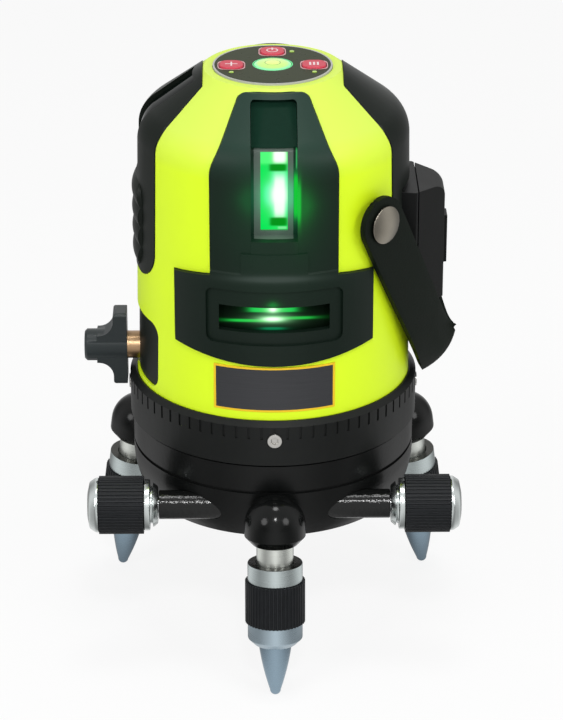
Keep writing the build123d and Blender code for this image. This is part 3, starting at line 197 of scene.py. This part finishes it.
def dress(finish, place, inputs):
    """Set or link the sockets of a finish's shader."""
    place.fill(finish.node_tree.nodes["Principled BSDF"], inputs)
    return finish


def seen_plainly(tree):
    """One for rays from the camera, and for those that metal and glass send on."""
    path = tree.nodes.new("ShaderNodeLightPath").outputs
    camera_ray, glossy_ray, clear_ray = (
        Value(tree, path[name]) for name in ("Is Camera Ray", "Is Glossy Ray", "Is Transmission Ray")
    )
    return camera_ray.larger(glossy_ray).larger(clear_ray)


white, black = (1, 1, 1), (0, 0, 0)
corner_share = 0.75
floor_size, floor_gap, floor_glow_share = 8, 0.0002, 0.86
bpy.ops.mesh.primitive_plane_add(size=floor_size, location=(0, 0, cad_box[0][2] - floor_gap))
floor = bpy.context.object
floor.name = "floor"
floor_finish, floor_place = new_finish("pale_floor")
floor_tint = floor_place.noise(scale=9.0).mix((0.86, 0.86, 0.86), (0.90, 0.90, 0.90))
dress(floor_finish, floor_place, {"Base Color": floor_tint, "Roughness": 0.9, "Specular IOR Level": 0.0})
floor_tree = floor_finish.node_tree
floor_x, floor_y, _ = floor_place.split()
floor_corner = (floor_x * floor_y * 2 / (floor_x**2 + floor_y**2)) ** 2
floor_grey = floor_place.node("LightPath", output="Is Glossy Ray") * floor_corner * corner_share
floor_glow = floor_place.node("Emission", None, {"Color": floor_grey.mix(white, black), "Strength": 1.0})
floor_lit = Value(floor_tree, floor_tree.nodes["Principled BSDF"].outputs[0])
floor_mixed = floor_place.node(
    "MixShader", None, {0: seen_plainly(floor_tree) * floor_glow_share, 1: floor_lit, 2: floor_glow}
)
floor_tree.links.new(floor_mixed.socket, floor_tree.nodes["Material Output"].inputs["Surface"])
floor.data.materials.append(floor_finish)

surround_light = 0.44
world = bpy.data.worlds.new("studio")
bpy.context.scene.world = world
world.use_nodes = True
surround = seen_plainly(world.node_tree)
toward_x, toward_y, _ = surround.node("TexCoord").split()
corner = (toward_x * toward_y * 2) ** 2
corner_grey = surround.node("LightPath", output="Is Glossy Ray") * corner * corner_share
surround.fill(
    world.node_tree.nodes["Background"],
    {"Color": white, "Strength": surround * (1 - surround_light) + surround_light - corner_grey},
)

lamp_aim = Vector((0, 0, 0.08))
for lamp_name, spot, power, size in (
    ("key_lamp", (0.05, -1.20, 1.20), 7.2, 0.22),
    ("left_lamp", (-0.95, -0.90, 0.75), 4.8, 0.60),
    ("right_lamp", (0.95, -0.90, 0.75), 4.8, 0.60),
    ("top_lamp", (0.05, -0.10, 1.50), 4.8, 0.42),
):
    bpy.ops.object.light_add(type="AREA", location=spot)
    lamp = bpy.context.object
    lamp.name = lamp_name
    lamp.data.energy = power
    lamp.data.shape = "DISK"
    lamp.data.size = size
    lamp.rotation_euler = (lamp_aim - Vector(spot)).to_track_quat("-Z", "Y").to_euler()

# Base: a cast bowl with a turned groove, its bottom plate, the ball-shaped leg arms and the tubes of the
# fine drive. All are covered in glossy black enamel, which shows the skin of the casting a little.
merge_gap, flat_angle, edge_steps = 0.000002, radians(0.3), 2


def eased(name, finish, edge=0.0, sharp=32.0):
    """Stand-in for a CAD piece: a copy with merged points, eased edges and smooth faces. Where edges are
    eased, the normals follow the larger faces, so that flat faces stay flat."""
    bpy.ops.object.select_all(action="DESELECT")
    nodes[name].select_set(True)
    bpy.context.view_layer.objects.active = nodes[name]
    bpy.ops.object.duplicate()
    piece = bpy.context.object
    piece.name = name + "_made"
    body = piece["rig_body"]
    for key in list(piece.keys()):
        del piece[key]
    bpy.ops.object.mode_set(mode="EDIT")
    bpy.ops.mesh.select_all(action="SELECT")
    bpy.ops.mesh.remove_doubles(threshold=merge_gap)
    bpy.ops.mesh.dissolve_limited(angle_limit=flat_angle)
    bpy.ops.object.mode_set(mode="OBJECT")
    bpy.ops.mesh.customdata_custom_splitnormals_clear()
    if edge:
        bevel = piece.modifiers.new("edge", "BEVEL")
        bevel.width = edge
        bevel.segments = edge_steps
        bevel.limit_method = "ANGLE"
        bevel.angle_limit = radians(sharp)
        bpy.ops.object.modifier_apply(modifier="edge")
    bpy.ops.object.shade_smooth_by_angle(angle=radians(sharp))
    if edge:
        flats = piece.modifiers.new("flats", "WEIGHTED_NORMAL")
        flats.keep_sharp = True
        bpy.ops.object.modifier_apply(modifier="flats")
    piece.data.materials.clear()
    piece.data.materials.append(finish)
    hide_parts(name)
    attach(piece, body)
    return piece


def black_enamel(name, ripple, gloss, roughness):
    """Glossy black enamel over a casting, whose skin has the strength in ripple."""
    finish, place = new_finish(name)
    skin = place.noise(scale=700.0)
    haze = place.noise(scale=60.0, detail=4.0)
    return dress(
        finish,
        place,
        {
            "Base Color": haze.mix((0.0022, 0.0025, 0.0024), (0.0048, 0.0054, 0.0052)),
            "Roughness": haze * 0.12 + (roughness - 0.06),
            "Specular IOR Level": gloss,
            "Normal": place.bump(skin, strength=ripple, depth=0.0003),
        },
    )


base_enamel = black_enamel("base_enamel", ripple=0.14, gloss=0.22, roughness=0.32)
ball_enamel = black_enamel("ball_enamel", ripple=0.08, gloss=0.20, roughness=0.15)
tube_enamel = black_enamel("tube_enamel", ripple=0.52, gloss=0.32, roughness=0.13)
eased("base_housing", base_enamel, edge=0.0005)
eased("base_plate", base_enamel, edge=0.0002)
eased("leg_arms", ball_enamel, edge=0.0003)
eased("fine_tubes", tube_enamel, edge=0.0003)


# Turned metal: leg studs and foot sleeves of matt aluminium, blue-grey steel tips, brighter fine-drive hubs.
# They are turned on a lathe, and its fine rings run round each piece. Below the grip a sleeve is blue-grey,
# and the shade inside the mouth of its cup is painted dark.
leg_splay, tip_circle_r, foot_drop = radians(8.5), 0.0749, 0.059
# the dark colour of the mouth is painted shade, where shade falls inside the cup
mouth_along, painted_mouth_shade = 0.0557, (0.055, 0.055, 0.050)


def turned_metal(name, colour, roughness, rings, contrast=0.05, lower=None):
    """Turned metal with lathe rings; rings gives the fineness along X, Y and Z. A sleeve has a height in
    lower with the colour below it, and painted shade in its mouth. Turning stretches the sheen along the
    axis."""
    finish, place = new_finish(name)
    cut = place.stretched(rings).noise(scale=1.0)
    smear = place.noise(scale=70.0, detail=4.0)
    dark = tuple(part * (1 - 4 * contrast) for part in colour)
    tint = (cut * 0.6 + smear * 0.4).mix(dark, colour)
    if lower:
        lower_z, lower_colour = lower
        x, y, z = place.split()
        out_from_tip = (x**2 + y**2) ** 0.5 - tip_circle_r
        along_leg = (z + foot_drop) * cos(leg_splay) - out_from_tip * sin(leg_splay)
        tint = (z < lower_z).mix(tint, lower_colour)
        # painted shade: past the mouth of the cup the colour turns dark, as shade falls inside it
        tint = (along_leg > mouth_along).mix(tint, painted_mouth_shade)
    return dress(
        finish,
        place,
        {
            "Base Color": tint,
            "Metallic": 1.0,
            "Anisotropic": 0.7,
            "Anisotropic Rotation": 0.25,
            "Roughness": smear * 0.14 + cut * 0.1 + (roughness - 0.12),
            "Normal": place.bump(cut, strength=0.12, depth=0.0001),
        },
    )


upright_rings = (60.0, 60.0, 4200.0)
cross_rings = (4200.0, 60.0, 60.0)
sleeve_grip_z = -0.0195
matt_aluminium = turned_metal("matt_aluminium", (0.80, 0.83, 0.78), 0.30, upright_rings, contrast=0.08)
sleeve_metal = turned_metal(
    "sleeve_metal",
    (0.60, 0.67, 0.67),
    0.28,
    upright_rings,
    contrast=0.08,
    lower=(sleeve_grip_z, (0.40, 0.49, 0.55)),
)
tip_steel = turned_metal("tip_steel", (0.29, 0.39, 0.47), 0.26, upright_rings)
bright_aluminium = turned_metal("bright_aluminium", (0.62, 0.66, 0.65), 0.20, cross_rings)
legs = ("front", "rear_right", "rear_left")
eased("leg_studs", matt_aluminium, edge=0.0003)
for leg in legs:
    eased(leg + "_foot_sleeve", sleeve_metal, edge=0.0003)
    eased(leg + "_foot_tip", tip_steel)
eased("fine_hubs", bright_aluminium, edge=0.0004)


# Grips: black anodised rings with straight knurling, pressed onto the feet and the fine knobs.
# Handling has rubbed them a little paler in places.
def knurled_black(name, colour):
    """Anodised metal with rubbed patches and fine pores."""
    finish, place = new_finish(name)
    rub = place.noise(scale=420.0, detail=4.0)
    pores = place.noise(scale=2600.0, detail=2.0)
    pale = tuple(part * 2.2 for part in colour)
    return dress(
        finish,
        place,
        {
            "Base Color": rub.mix(colour, pale),
            "Roughness": rub * 0.2 + 0.40,
            "Specular IOR Level": 0.22,
            "Normal": place.bump(pores, strength=0.25, depth=0.0002),
        },
    )


knurl_finish = knurled_black("knurled_grip", (0.0048, 0.0056, 0.0066))
for leg in legs:
    eased(leg + "_foot_grip", knurl_finish)
eased("fine_grips", knurl_finish)


# Graduated ring: black anodised aluminium, turned, and engraved every five degrees. Four radial steel
# screws hold it and the cover to the rim of the head floor, which is bare aluminium.
def satin_black_metal(name):
    """Black anodised metal with faint lathe rings and a cloudy sheen."""
    finish, place = new_finish(name)
    cut = place.stretched(upright_rings).noise(scale=0.5, detail=2.0)
    cloud = place.noise(scale=50.0, detail=4.0)
    return dress(
        finish,
        place,
        {
            "Base Color": cloud.mix((0.0048, 0.0056, 0.0052), (0.0095, 0.0105, 0.0100)),
            "Roughness": cloud * 0.16 + cut * 0.08 + 0.26,
            "Specular IOR Level": 0.18,
            "Normal": place.bump(cut, strength=0.1, depth=0.0001),
        },
    )


screw_grain = (300.0, 300.0, 300.0)
screw_steel = turned_metal("screw_steel", (0.60, 0.59, 0.56), 0.3, screw_grain, contrast=0.1)
eased("graduated_ring", satin_black_metal("ring_anodised"), edge=0.0003)
eased("ring_screws", screw_steel, edge=0.0004)
eased("head_floor", matt_aluminium)


# Body cover: one moulded shell in fluorescent yellow-green plastic with a fine satin texture.
# It stands inside the graduated ring, whose screws hold it, and a painted sheen makes it paler at its
# shoulder.
def moulded(name, colour, roughness, grain, depth, specular, spread=0.1, upper=None):
    """Moulded plastic: slightly uneven colour and gloss over a fine eroded texture. Grain is the fineness
    of the texture and depth its strength. Upper gives two heights and the colour that the piece fades to
    between them, a painted sheen of the light from above."""
    finish, place = new_finish(name)
    cloud = place.noise(scale=38.0, detail=5.0)
    texture = place.noise(scale=grain, detail=2.0)
    dark = tuple(part * (1 - spread) for part in colour)
    tint = cloud.mix(dark, colour)
    # painted sheen: above the first height the colour fades paler, as light from above falls on the sloping
    # faces
    if upper:
        fade_low, fade_high, pale = upper
        tint = ((place.split()[2] - fade_low) / (fade_high - fade_low)).mix(tint, pale)
    return dress(
        finish,
        place,
        {
            "Base Color": tint,
            "Roughness": cloud * 0.16 + (roughness - 0.08),
            "Specular IOR Level": specular,
            "Normal": place.bump(texture, strength=depth, depth=0.0002),
        },
    )


# the cover's shoulder and the front bezel's upper slopes are painted paler between these heights, a painted
# sheen
shoulder_low, shoulder_high = 0.150, 0.164
cover_yellow = moulded(
    "cover_yellow",
    colour=(0.72, 0.98, 0.010),
    roughness=0.44,
    grain=2400.0,
    depth=0.08,
    specular=0.32,
    spread=0.05,
    upper=(shoulder_low, shoulder_high, (0.655, 0.850, 0.098)),
)
eased("body_shell", cover_yellow, edge=0.0002)


# Black trim: front bezel, side bezels and rear grip, moulded in dark slate plastic and clipped into the
# cover. Round the tall window the front bezel is painted with the green light that spills from the pane, and
# its upper slopes are painted paler as a sheen.
def shine(place, layers, sag):
    """Light on a face, seen from the front: each layer is its centre, half sizes, edge hardness and
    colour, laid over the last one. Sag draws the ends of its lines down."""
    fall_off = 1.6
    across, _, height = place.split()
    height = across**2 * sag + height
    light = (0.0, 0.0, 0.0)
    for (x, z), (half_x, half_z), edge, colour in layers:
        reach = abs((across - x) / half_x) ** edge + abs((height - z) / half_z) ** edge
        light = (1 / (reach**2 * fall_off + 1)).mix(light, colour)
    return light


def lit(finish, layers, sag=0.0):
    """Give a finish its own light."""
    coordinates = next(node for node in finish.node_tree.nodes if node.type == "TEX_COORD")
    place = Value(finish.node_tree, coordinates.outputs["Object"])
    return dress(finish, place, {"Emission Color": shine(place, layers, sag), "Emission Strength": 1.0})


tall_low, tall_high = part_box("front_glass")
core_x, core_drop = 0.0021, 0.0016
core_z = (tall_low.z + tall_high.z) / 2 - core_drop
wide_low, wide_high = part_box("line_glass")
wide_x, wide_z = -0.0006, (wide_low.z + wide_high.z) / 2
slate = (0.0074, 0.0140, 0.0102)
ledge_z, ledge_sag = 0.1124, 1.8
trim_slate = moulded(
    "trim_slate",
    colour=(0.0072, 0.0104, 0.0078),
    roughness=0.40,
    grain=1800.0,
    depth=0.14,
    specular=0.12,
    spread=0.25,
)
# front bezel: paler on its upper slopes as a painted sheen, and given painted window glow by lit() below
front_slate = moulded(
    "front_slate",
    colour=slate,
    roughness=0.42,
    grain=1800.0,
    depth=0.14,
    specular=0.14,
    spread=0.25,
    upper=(shoulder_low, shoulder_high, (0.0155, 0.0360, 0.0270)),
)
front_light = [
    # painted light all round the tall window, and a painted sheen on the ledge over the wide one
    ((0.0, core_z - 0.0080), (0.0240, 0.0300), 2.0, (0.0, 0.0095, 0.0030)),
    ((0.0, ledge_z), (0.0165, 0.0015), 2.0, (0.034, 0.046, 0.040)),
    # spill to the left and right of the tall window, with a bright line at its right wall
    ((-0.0096, core_z + 0.0010), (0.0046, 0.0070), 1.5, (0.0, 0.060, 0.012)),
    ((0.0110, core_z - 0.0015), (0.0044, 0.0080), 1.5, (0.0, 0.125, 0.012)),
    ((0.0093, core_z), (0.0009, 0.0085), 3.0, (0.0, 0.50, 0.03)),
    # spot over the wide window
    ((wide_x, wide_z + 0.0064), (0.0022, 0.0014), 1.6, (0.0, 0.17, 0.02)),
]
eased("front_bezel", lit(front_slate, front_light, ledge_sag), edge=0.0007)
for trim in ("left_bezel", "right_bezel", "rear_grip"):
    eased(trim, trim_slate, edge=0.0003)

# Windows: a grey tray with the opening of the vertical line, two lit panes and two dark polished ones.
# The lit panes are painted with the green light of the laser modules behind them, with its white cores and
# bars, and the grey tray with the light that falls on it.
frame_face, frame_offset = 0.0075, 0.0002
frame_grey, frame_place = new_finish("window_grey")
frame_dust = frame_place.noise(scale=300.0)
frame_gap = abs(frame_place.split()[0] + frame_offset) > frame_face
frame_tint = frame_dust.mix((0.098, 0.118, 0.106), (0.112, 0.132, 0.120))
dress(
    frame_grey,
    frame_place,
    {
        "Base Color": frame_gap.mix(frame_tint, slate),
        "Roughness": frame_dust * 0.2 + 0.4,
        "Specular IOR Level": 0.12,
    },
)
# painted light: the glow of the core and the bright strip on the right wall are painted on the grey tray
frame_light = [
    # light of the core, then the strip on the right wall and its thin upper end
    ((core_x, core_z), (0.0078, 0.0085), 2.0, (0.01, 0.45, 0.17)),
    ((0.0083, core_z), (0.0008, 0.0090), 6.0, (0.0, 0.55, 0.03)),
    ((0.0085, core_z + 0.0150), (0.0003, 0.0040), 6.0, (0.03, 0.35, 0.09)),
]
eased("window_frame", lit(frame_grey, frame_light), edge=0.0002)


def pane(name, colour, gloss):
    """Polished pane over a dark space, with a little dust."""
    finish, place = new_finish(name)
    dust = place.noise(scale=500.0, detail=4.0)
    pale = tuple(part * 1.4 + 0.0004 for part in colour)
    return dress(
        finish,
        place,
        {"Base Color": dust.mix(colour, pale), "Roughness": dust * 0.06 + 0.05, "Specular IOR Level": gloss},
    )


laser_dim, laser_white, laser_halo = (0.0, 0.29, 0.008), (1.0, 1.3, 1.0), (0.25, 1.0, 0.35)
tall_light = [
    # green field, with a brighter patch at its upper left
    ((0.0, core_z), (0.0090, 0.0300), 4.0, (0.0, 0.80, 0.095)),
    ((-0.0034, core_z + 0.0153), (0.0028, 0.0030), 5.0, (0.08, 1.0, 0.20)),
    # halo, white bar and white core
    ((core_x - 0.0030, core_z), (0.0034, 0.0050), 2.5, (0.05, 1.0, 0.38)),
    ((core_x, core_z + 0.0004), (0.0034, 0.0096), 4.0, (0.14, 1.0, 0.48)),
    ((core_x, core_z - 0.0008), (0.0021, 0.0084), 5.0, (0.92, 1.25, 0.92)),
    ((core_x - 0.0003, core_z - 0.0002), (0.0031, 0.0046), 2.2, laser_white),
    # white patch at the top, the two dim bars, and the light edge at the bottom
    ((core_x, core_z + 0.0155), (0.0026, 0.0028), 4.0, laser_white),
    ((0.0015, core_z + 0.0109), (0.0035, 0.0015), 6.0, laser_dim),
    ((0.0017, core_z - 0.0111), (0.0035, 0.0018), 6.0, laser_dim),
    ((core_x + 0.0010, core_z - 0.0136), (0.0017, 0.0005), 6.0, (0.20, 0.85, 0.32)),
]
wide_sag = 3.2
wide_light = [
    # soft glow, and the low reflection
    ((wide_x, wide_z + 0.0012), (0.0066, 0.0034), 2.0, (0.0, 0.055, 0.014)),
    ((wide_x, wide_z - 0.0044), (0.0046, 0.0006), 2.5, (0.0, 0.20, 0.07)),
    # left and right halves of the main line, and the short line over it
    ((wide_x - 0.0086, wide_z - 0.0011), (0.0092, 0.0006), 3.0, (0.01, 0.60, 0.06)),
    ((wide_x + 0.0080, wide_z - 0.0001), (0.0084, 0.0006), 3.0, (0.01, 0.50, 0.05)),
    ((wide_x, wide_z + 0.0035), (0.0093, 0.0011), 6.0, (0.01, 0.62, 0.08)),
    # halo and white core of each line
    ((wide_x, wide_z - 0.0005), (0.0052, 0.0013), 2.0, laser_halo),
    ((wide_x, wide_z - 0.0005), (0.0036, 0.0009), 2.0, laser_white),
    ((wide_x, wide_z + 0.0035), (0.0032, 0.0014), 2.0, laser_halo),
    ((wide_x, wide_z + 0.0035), (0.0015, 0.0010), 2.0, laser_white),
]
eased("front_glass", lit(pane("tall_pane", (0.001, 0.006, 0.003), gloss=0.02), tall_light))
eased("line_glass", lit(pane("wide_pane", (0.0005, 0.0010, 0.0007), gloss=0.02), wide_light, wide_sag))
eased("upper_glass", pane("green_pane", (0.0056, 0.0225, 0.0138), gloss=0.004))
eased("left_glass", pane("dark_pane", (0.0012, 0.0030, 0.0022), gloss=0.03))

# Name plate: a thin bare plate of dark anodised aluminium with a gold border, bent to the cover and
# glued on. Its face is brushed lengthwise.
plate_low, plate_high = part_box("name_plate")
plate_border, plate_gold = 0.0008, (0.82, 0.52, 0.015)
plate_finish, plate_place = new_finish("plate_anodised")
plate_x, _, plate_z = plate_place.split()
plate_rise = abs(plate_z - (plate_low.z + plate_high.z) / 2)
plate_half_h = (plate_high.z - plate_low.z) / 2
border = (abs(plate_x) > plate_high.x - plate_border).larger(plate_rise > plate_half_h - plate_border)
plate_brush = plate_place.stretched((60.0, 60.0, 3000.0)).noise(scale=1.0)
plate_tint = plate_brush.mix((0.028, 0.029, 0.032), (0.042, 0.043, 0.047))
dress(
    plate_finish,
    plate_place,
    {
        "Base Color": border.mix(plate_tint, plate_gold),
        "Roughness": plate_brush * 0.15 + 0.32,
        "Specular IOR Level": 0.25,
    },
)
eased("name_plate", plate_finish)

# Lock: a recessed black escutcheon, a turned brass shaft through the cover and a moulded wing knob
# that is pressed onto the shaft.
knob_slate = moulded(
    "knob_slate",
    colour=(0.0200, 0.0270, 0.0290),
    roughness=0.38,
    grain=1500.0,
    depth=0.16,
    specular=0.30,
    spread=0.2,
)
brass = turned_metal("brass_shaft", (0.40, 0.26, 0.15), 0.30, cross_rings)
eased("lock_plate", trim_slate, edge=0.0003)
eased("lock_shaft", brass, edge=0.0002)
eased("lock_knob", knob_slate, edge=0.0006)

# Keypad: a printed panel in the cover's top rim, with three soft red keys, three status lamps and the round
# bubble vial. The outlines round the keys and the vial are printed on the panel, the symbols on the keys.
key_names = ("left_key", "right_key", "top_key")
key_outline, vial_outline, panel_line = 0.0054, 0.0079, 0.0007
panel_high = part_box("keypad_panel")[1]
panel_finish, panel_place = new_finish("panel_print")
panel_x, panel_y, _ = panel_place.split()
panel_r = (panel_x**2 + panel_y**2) ** 0.5
panel_dust = panel_place.noise(scale=300.0)
panel_tint = panel_dust.mix((0.0240, 0.0310, 0.0120), (0.0330, 0.0420, 0.0170))
panel_tint = (panel_r > panel_high.x - panel_line).mix(panel_tint, (0.46, 0.46, 0.45))
panel_tint = (panel_r < vial_outline).mix(panel_tint, (0.16, 0.75, 0.32))
key_middle = {}
for key in key_names:
    key_low, key_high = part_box(key)
    key_middle[key] = (key_low + key_high) / 2
    around = ((panel_x - key_middle[key].x) ** 4 + (panel_y - key_middle[key].y) ** 4) ** 0.25
    panel_tint = (around < key_outline).mix(panel_tint, (0.66, 0.36, 0.38))
dress(
    panel_finish,
    panel_place,
    {"Base Color": panel_tint, "Roughness": panel_dust * 0.1 + 0.24, "Specular IOR Level": 0.04},
)
eased("keypad_panel", panel_finish)


def key_red(name, colour, bars, ring):
    """Soft red key; each white bar has its centre and half sizes, and the ring its radius and width."""
    finish, place = new_finish(name)
    x, y, _ = place.split()
    x, y = x - key_middle[name].x, y - key_middle[name].y
    radius, width = ring
    mark = abs((x**2 + y**2) ** 0.5 - radius) < width / 2
    for middle_x, middle_y, half_x, half_y in bars:
        inside = (abs(x - middle_x) < half_x) * (abs(y - middle_y) < half_y)
        mark = mark.larger(inside)
    cloud = place.noise(scale=260.0, detail=4.0)
    skin = place.noise(scale=1500.0, detail=2.0)
    dark = tuple(part * 0.85 for part in colour)
    return dress(
        finish,
        place,
        {
            "Base Color": mark.mix(cloud.mix(dark, colour), (0.80, 0.66, 0.66)),
            "Roughness": cloud * 0.15 + 0.34,
            "Specular IOR Level": 0.3,
            "Normal": place.bump(skin, strength=0.06, depth=0.0002),
        },
    )


stroke_half, plus_half = 0.0003, 0.0024
bar_step, bar_half_w, bar_half_h = 0.0015, 0.0004, 0.0018
power_up, power_half, power_r, power_line = 0.0016, 0.0014, 0.0021, 0.0005
no_ring = (-1.0, 0.0)
plus_sign = [(0, 0, plus_half, stroke_half), (0, 0, stroke_half, plus_half)]
three_bars = [(step * bar_step, 0, bar_half_w, bar_half_h) for step in (-1, 0, 1)]
power_stroke = [(0, power_up, stroke_half, power_half)]
key_marks = {
    "left_key": (plus_sign, no_ring),
    "right_key": (three_bars, no_ring),
    "top_key": (power_stroke, (power_r, power_line)),
}
for key in key_names:
    eased(key, key_red(key, (0.62, 0.050, 0.085), *key_marks[key]), edge=0.0005)

vial_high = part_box("bubble_vial")[1]
vial_finish, vial_place = new_finish("vial_liquid")
vial_x, vial_y, _ = vial_place.split()
vial_stops = [
    (0.0, (0.62, 0.88, 0.14)),
    (0.36, (0.62, 0.86, 0.12)),
    (0.40, (0.10, 0.16, 0.02)),
    (0.45, (0.48, 0.82, 0.10)),
    (0.78, (0.42, 0.80, 0.14)),
    (0.92, (0.22, 0.78, 0.34)),
]
vial_out = (vial_x**2 + vial_y**2) ** 0.5 / vial_high.x
vial_tint = vial_place.node("ValToRGB", {"stops": vial_stops}, {0: vial_out})
# painted glow: the vial gives off a faint light in its own colours, though it is no lamp
dress(
    vial_finish,
    vial_place,
    {
        "Base Color": vial_tint,
        "Roughness": vial_place.noise(scale=200.0) * 0.05 + 0.04,
        "Coat Weight": 0.4,
        "Emission Color": vial_tint,
        "Emission Strength": 0.25,
    },
)
eased("bubble_vial", vial_finish, edge=0.0005)
lamp_lens = moulded(
    "lamp_lens", colour=(0.40, 0.62, 0.10), roughness=0.2, grain=1200.0, depth=0.02, specular=0.4
)
eased("status_lamps", lamp_lens, edge=0.0003)

# Battery box: a dock in the cover's right side, the battery case fixed to it, and a hooded cover that
# slides up. All three are moulded in satin black plastic.
case_black = moulded(
    "case_black",
    colour=(0.0062, 0.0068, 0.0066),
    roughness=0.42,
    grain=1600.0,
    depth=0.16,
    specular=0.12,
    spread=0.2,
)
eased("battery_dock", case_black, edge=0.0003)
eased("battery_case", case_black, edge=0.0004)
eased("battery_cover", case_black, edge=0.0010)

# Carrying strap: a flat leather strap, held by a domed rivet at each end, which hangs round the battery
# box. Its cut edges are rounded over, and they curl in where it bends.
rivet_turn = radians(46.0)
strap_half, strap_thick, strap_mid_r = 0.0109, 0.0026, 0.05762
rivet_z, strap_low_z = 0.129, 0.0586
plan_bend, rise_bend, strap_lean = 0.0152, 0.020, radians(37.0)
bend_curl, bend_share, strap_tab = 0.0032, 0.36, 1.25
strap_steps, strap_strips, strap_merge = 96, 10, 0.00002
strap_edge, strap_edge_steps, strap_edge_angle = 0.0008, 3, radians(50)
strap_smooth_angle = radians(40)
strap_end = Vector((sin(rivet_turn), cos(rivet_turn), 0)) * strap_mid_r
strap_plan_x = strap_end.x + sqrt(strap_end.y**2 + plan_bend**2)
strap_rise = (rivet_z - strap_low_z) / (sqrt(strap_end.y**2 + rise_bend**2) - rise_bend)


def strap_point(share, side):
    """Point on the strap's middle surface: share runs from rivet to rivet, side across its width. Past a
    rivet the strap ends in a round tab."""
    held = max(-1.0, min(1.0, share))
    y = held * strap_end.y
    plan_root = sqrt(y**2 + plan_bend**2)
    rise_root = sqrt(y**2 + rise_bend**2)
    centre = Vector((strap_plan_x - plan_root, y, strap_low_z + strap_rise * (rise_root - rise_bend)))
    along = Vector((-y / plan_root, 1, strap_rise * y / rise_root)).normalized()
    rivet_out = Vector((sin(rivet_turn), cos(rivet_turn) * (1 if held > 0 else -1), 0))
    hold = abs(held) ** 2 * (3 - 2 * abs(held))
    out = rivet_out * hold + Vector((cos(strap_lean), 0, -sin(strap_lean))) * (1 - hold)
    out = (out - along * out.dot(along)).normalized()
    past = share - held
    reach = strap_half * sin(min(1.0, abs(past) / (strap_tab - 1)) * pi / 2)
    width = sqrt(max(0.0, strap_half**2 - reach**2))
    curl = bend_curl * side**2 / (1 + (held / bend_share) ** 4)
    return centre + along * reach * (1 if past > 0 else -1) + out.cross(along) * side * width - out * curl


bpy.ops.mesh.primitive_grid_add(x_subdivisions=strap_steps, y_subdivisions=strap_strips, size=2)
strap = bpy.context.object
strap.name = "strap_leather"
for vertex in strap.data.vertices:
    vertex.co = strap_point(vertex.co.x * strap_tab, vertex.co.y)
bpy.ops.object.mode_set(mode="EDIT")
bpy.ops.mesh.select_all(action="SELECT")
bpy.ops.mesh.remove_doubles(threshold=strap_merge)
bpy.ops.mesh.normals_make_consistent(inside=False)
bpy.ops.object.mode_set(mode="OBJECT")
rounding = {
    "width": strap_edge,
    "segments": strap_edge_steps,
    "limit_method": "ANGLE",
    "angle_limit": strap_edge_angle,
}
for kind, settings in (("SOLIDIFY", {"thickness": strap_thick, "offset": 0.0}), ("BEVEL", rounding)):
    modifier = strap.modifiers.new(kind.lower(), kind)
    for key, setting in settings.items():
        setattr(modifier, key, setting)
    bpy.ops.object.modifier_apply(modifier=modifier.name)
bpy.ops.object.shade_smooth_by_angle(angle=strap_smooth_angle)
leather, leather_place = new_finish("strap_leather")
grain = leather_place.node("TexVoronoi", None, {"Vector": leather_place, "Scale": 1100.0})
creases = leather_place.noise(scale=130.0, detail=6.0)
dress(
    leather,
    leather_place,
    {
        "Base Color": creases.mix((0.0038, 0.0060, 0.0042), (0.0076, 0.0115, 0.0080)),
        "Roughness": creases * 0.25 + 0.38,
        "Specular IOR Level": 0.06,
        "Normal": leather_place.bump(grain * 0.5 + creases, strength=0.35, depth=0.0002),
    },
)
strap.data.materials.append(leather)
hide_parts("carry_strap")
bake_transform(strap)
rivet_grain = (200.0, 200.0, 200.0)
rivet_steel = turned_metal("rivet_steel", (0.31, 0.285, 0.235), 0.24, rivet_grain, contrast=0.08)
eased("strap_rivets", rivet_steel, edge=0.0008)

# Inside: brass and steel drive parts, the brass pendulum with its laser modules, boards and cells.
# They keep their plain CAD form, and the base and the cover close in all but the tripod bush and the
# screws of the bottom plate.
inner_brass = turned_metal("inner_brass", (0.66, 0.48, 0.20), 0.34, upright_rings)
inner_steel = turned_metal("inner_steel", (0.56, 0.57, 0.58), 0.32, upright_rings)
board_green = moulded(
    "board_green", colour=(0.012, 0.11, 0.035), roughness=0.4, grain=900.0, depth=0.05, specular=0.4
)
cell_wrap = moulded(
    "cell_wrap", colour=(0.06, 0.10, 0.20), roughness=0.35, grain=900.0, depth=0.03, specular=0.45
)
lens_finish, lens_place = new_finish("lens_glass")
dress(
    lens_finish,
    lens_place,
    {
        "Base Color": (0.8, 0.95, 0.88),
        "Roughness": lens_place.noise(scale=500.0) * 0.05 + 0.03,
        "Transmission Weight": 1.0,
    },
)
for finish, names in (
    (inner_brass, ("worm_wheel", "tripod_bush", "clutch_washer", "pendulum", "laser_modules")),
    (inner_steel, ("worm_shaft", "head_spindle", "spindle_nut", "base_screws")),
    (matt_aluminium, ("gimbal_frame", "gimbal_ring")),
    (board_green, ("key_board", "circuit_board")),
    (cell_wrap, ("battery_cells",)),
    (lens_finish, ("laser_lenses",)),
):
    for name in names:
        nodes[name].data.materials.clear()
        nodes[name].data.materials.append(finish)
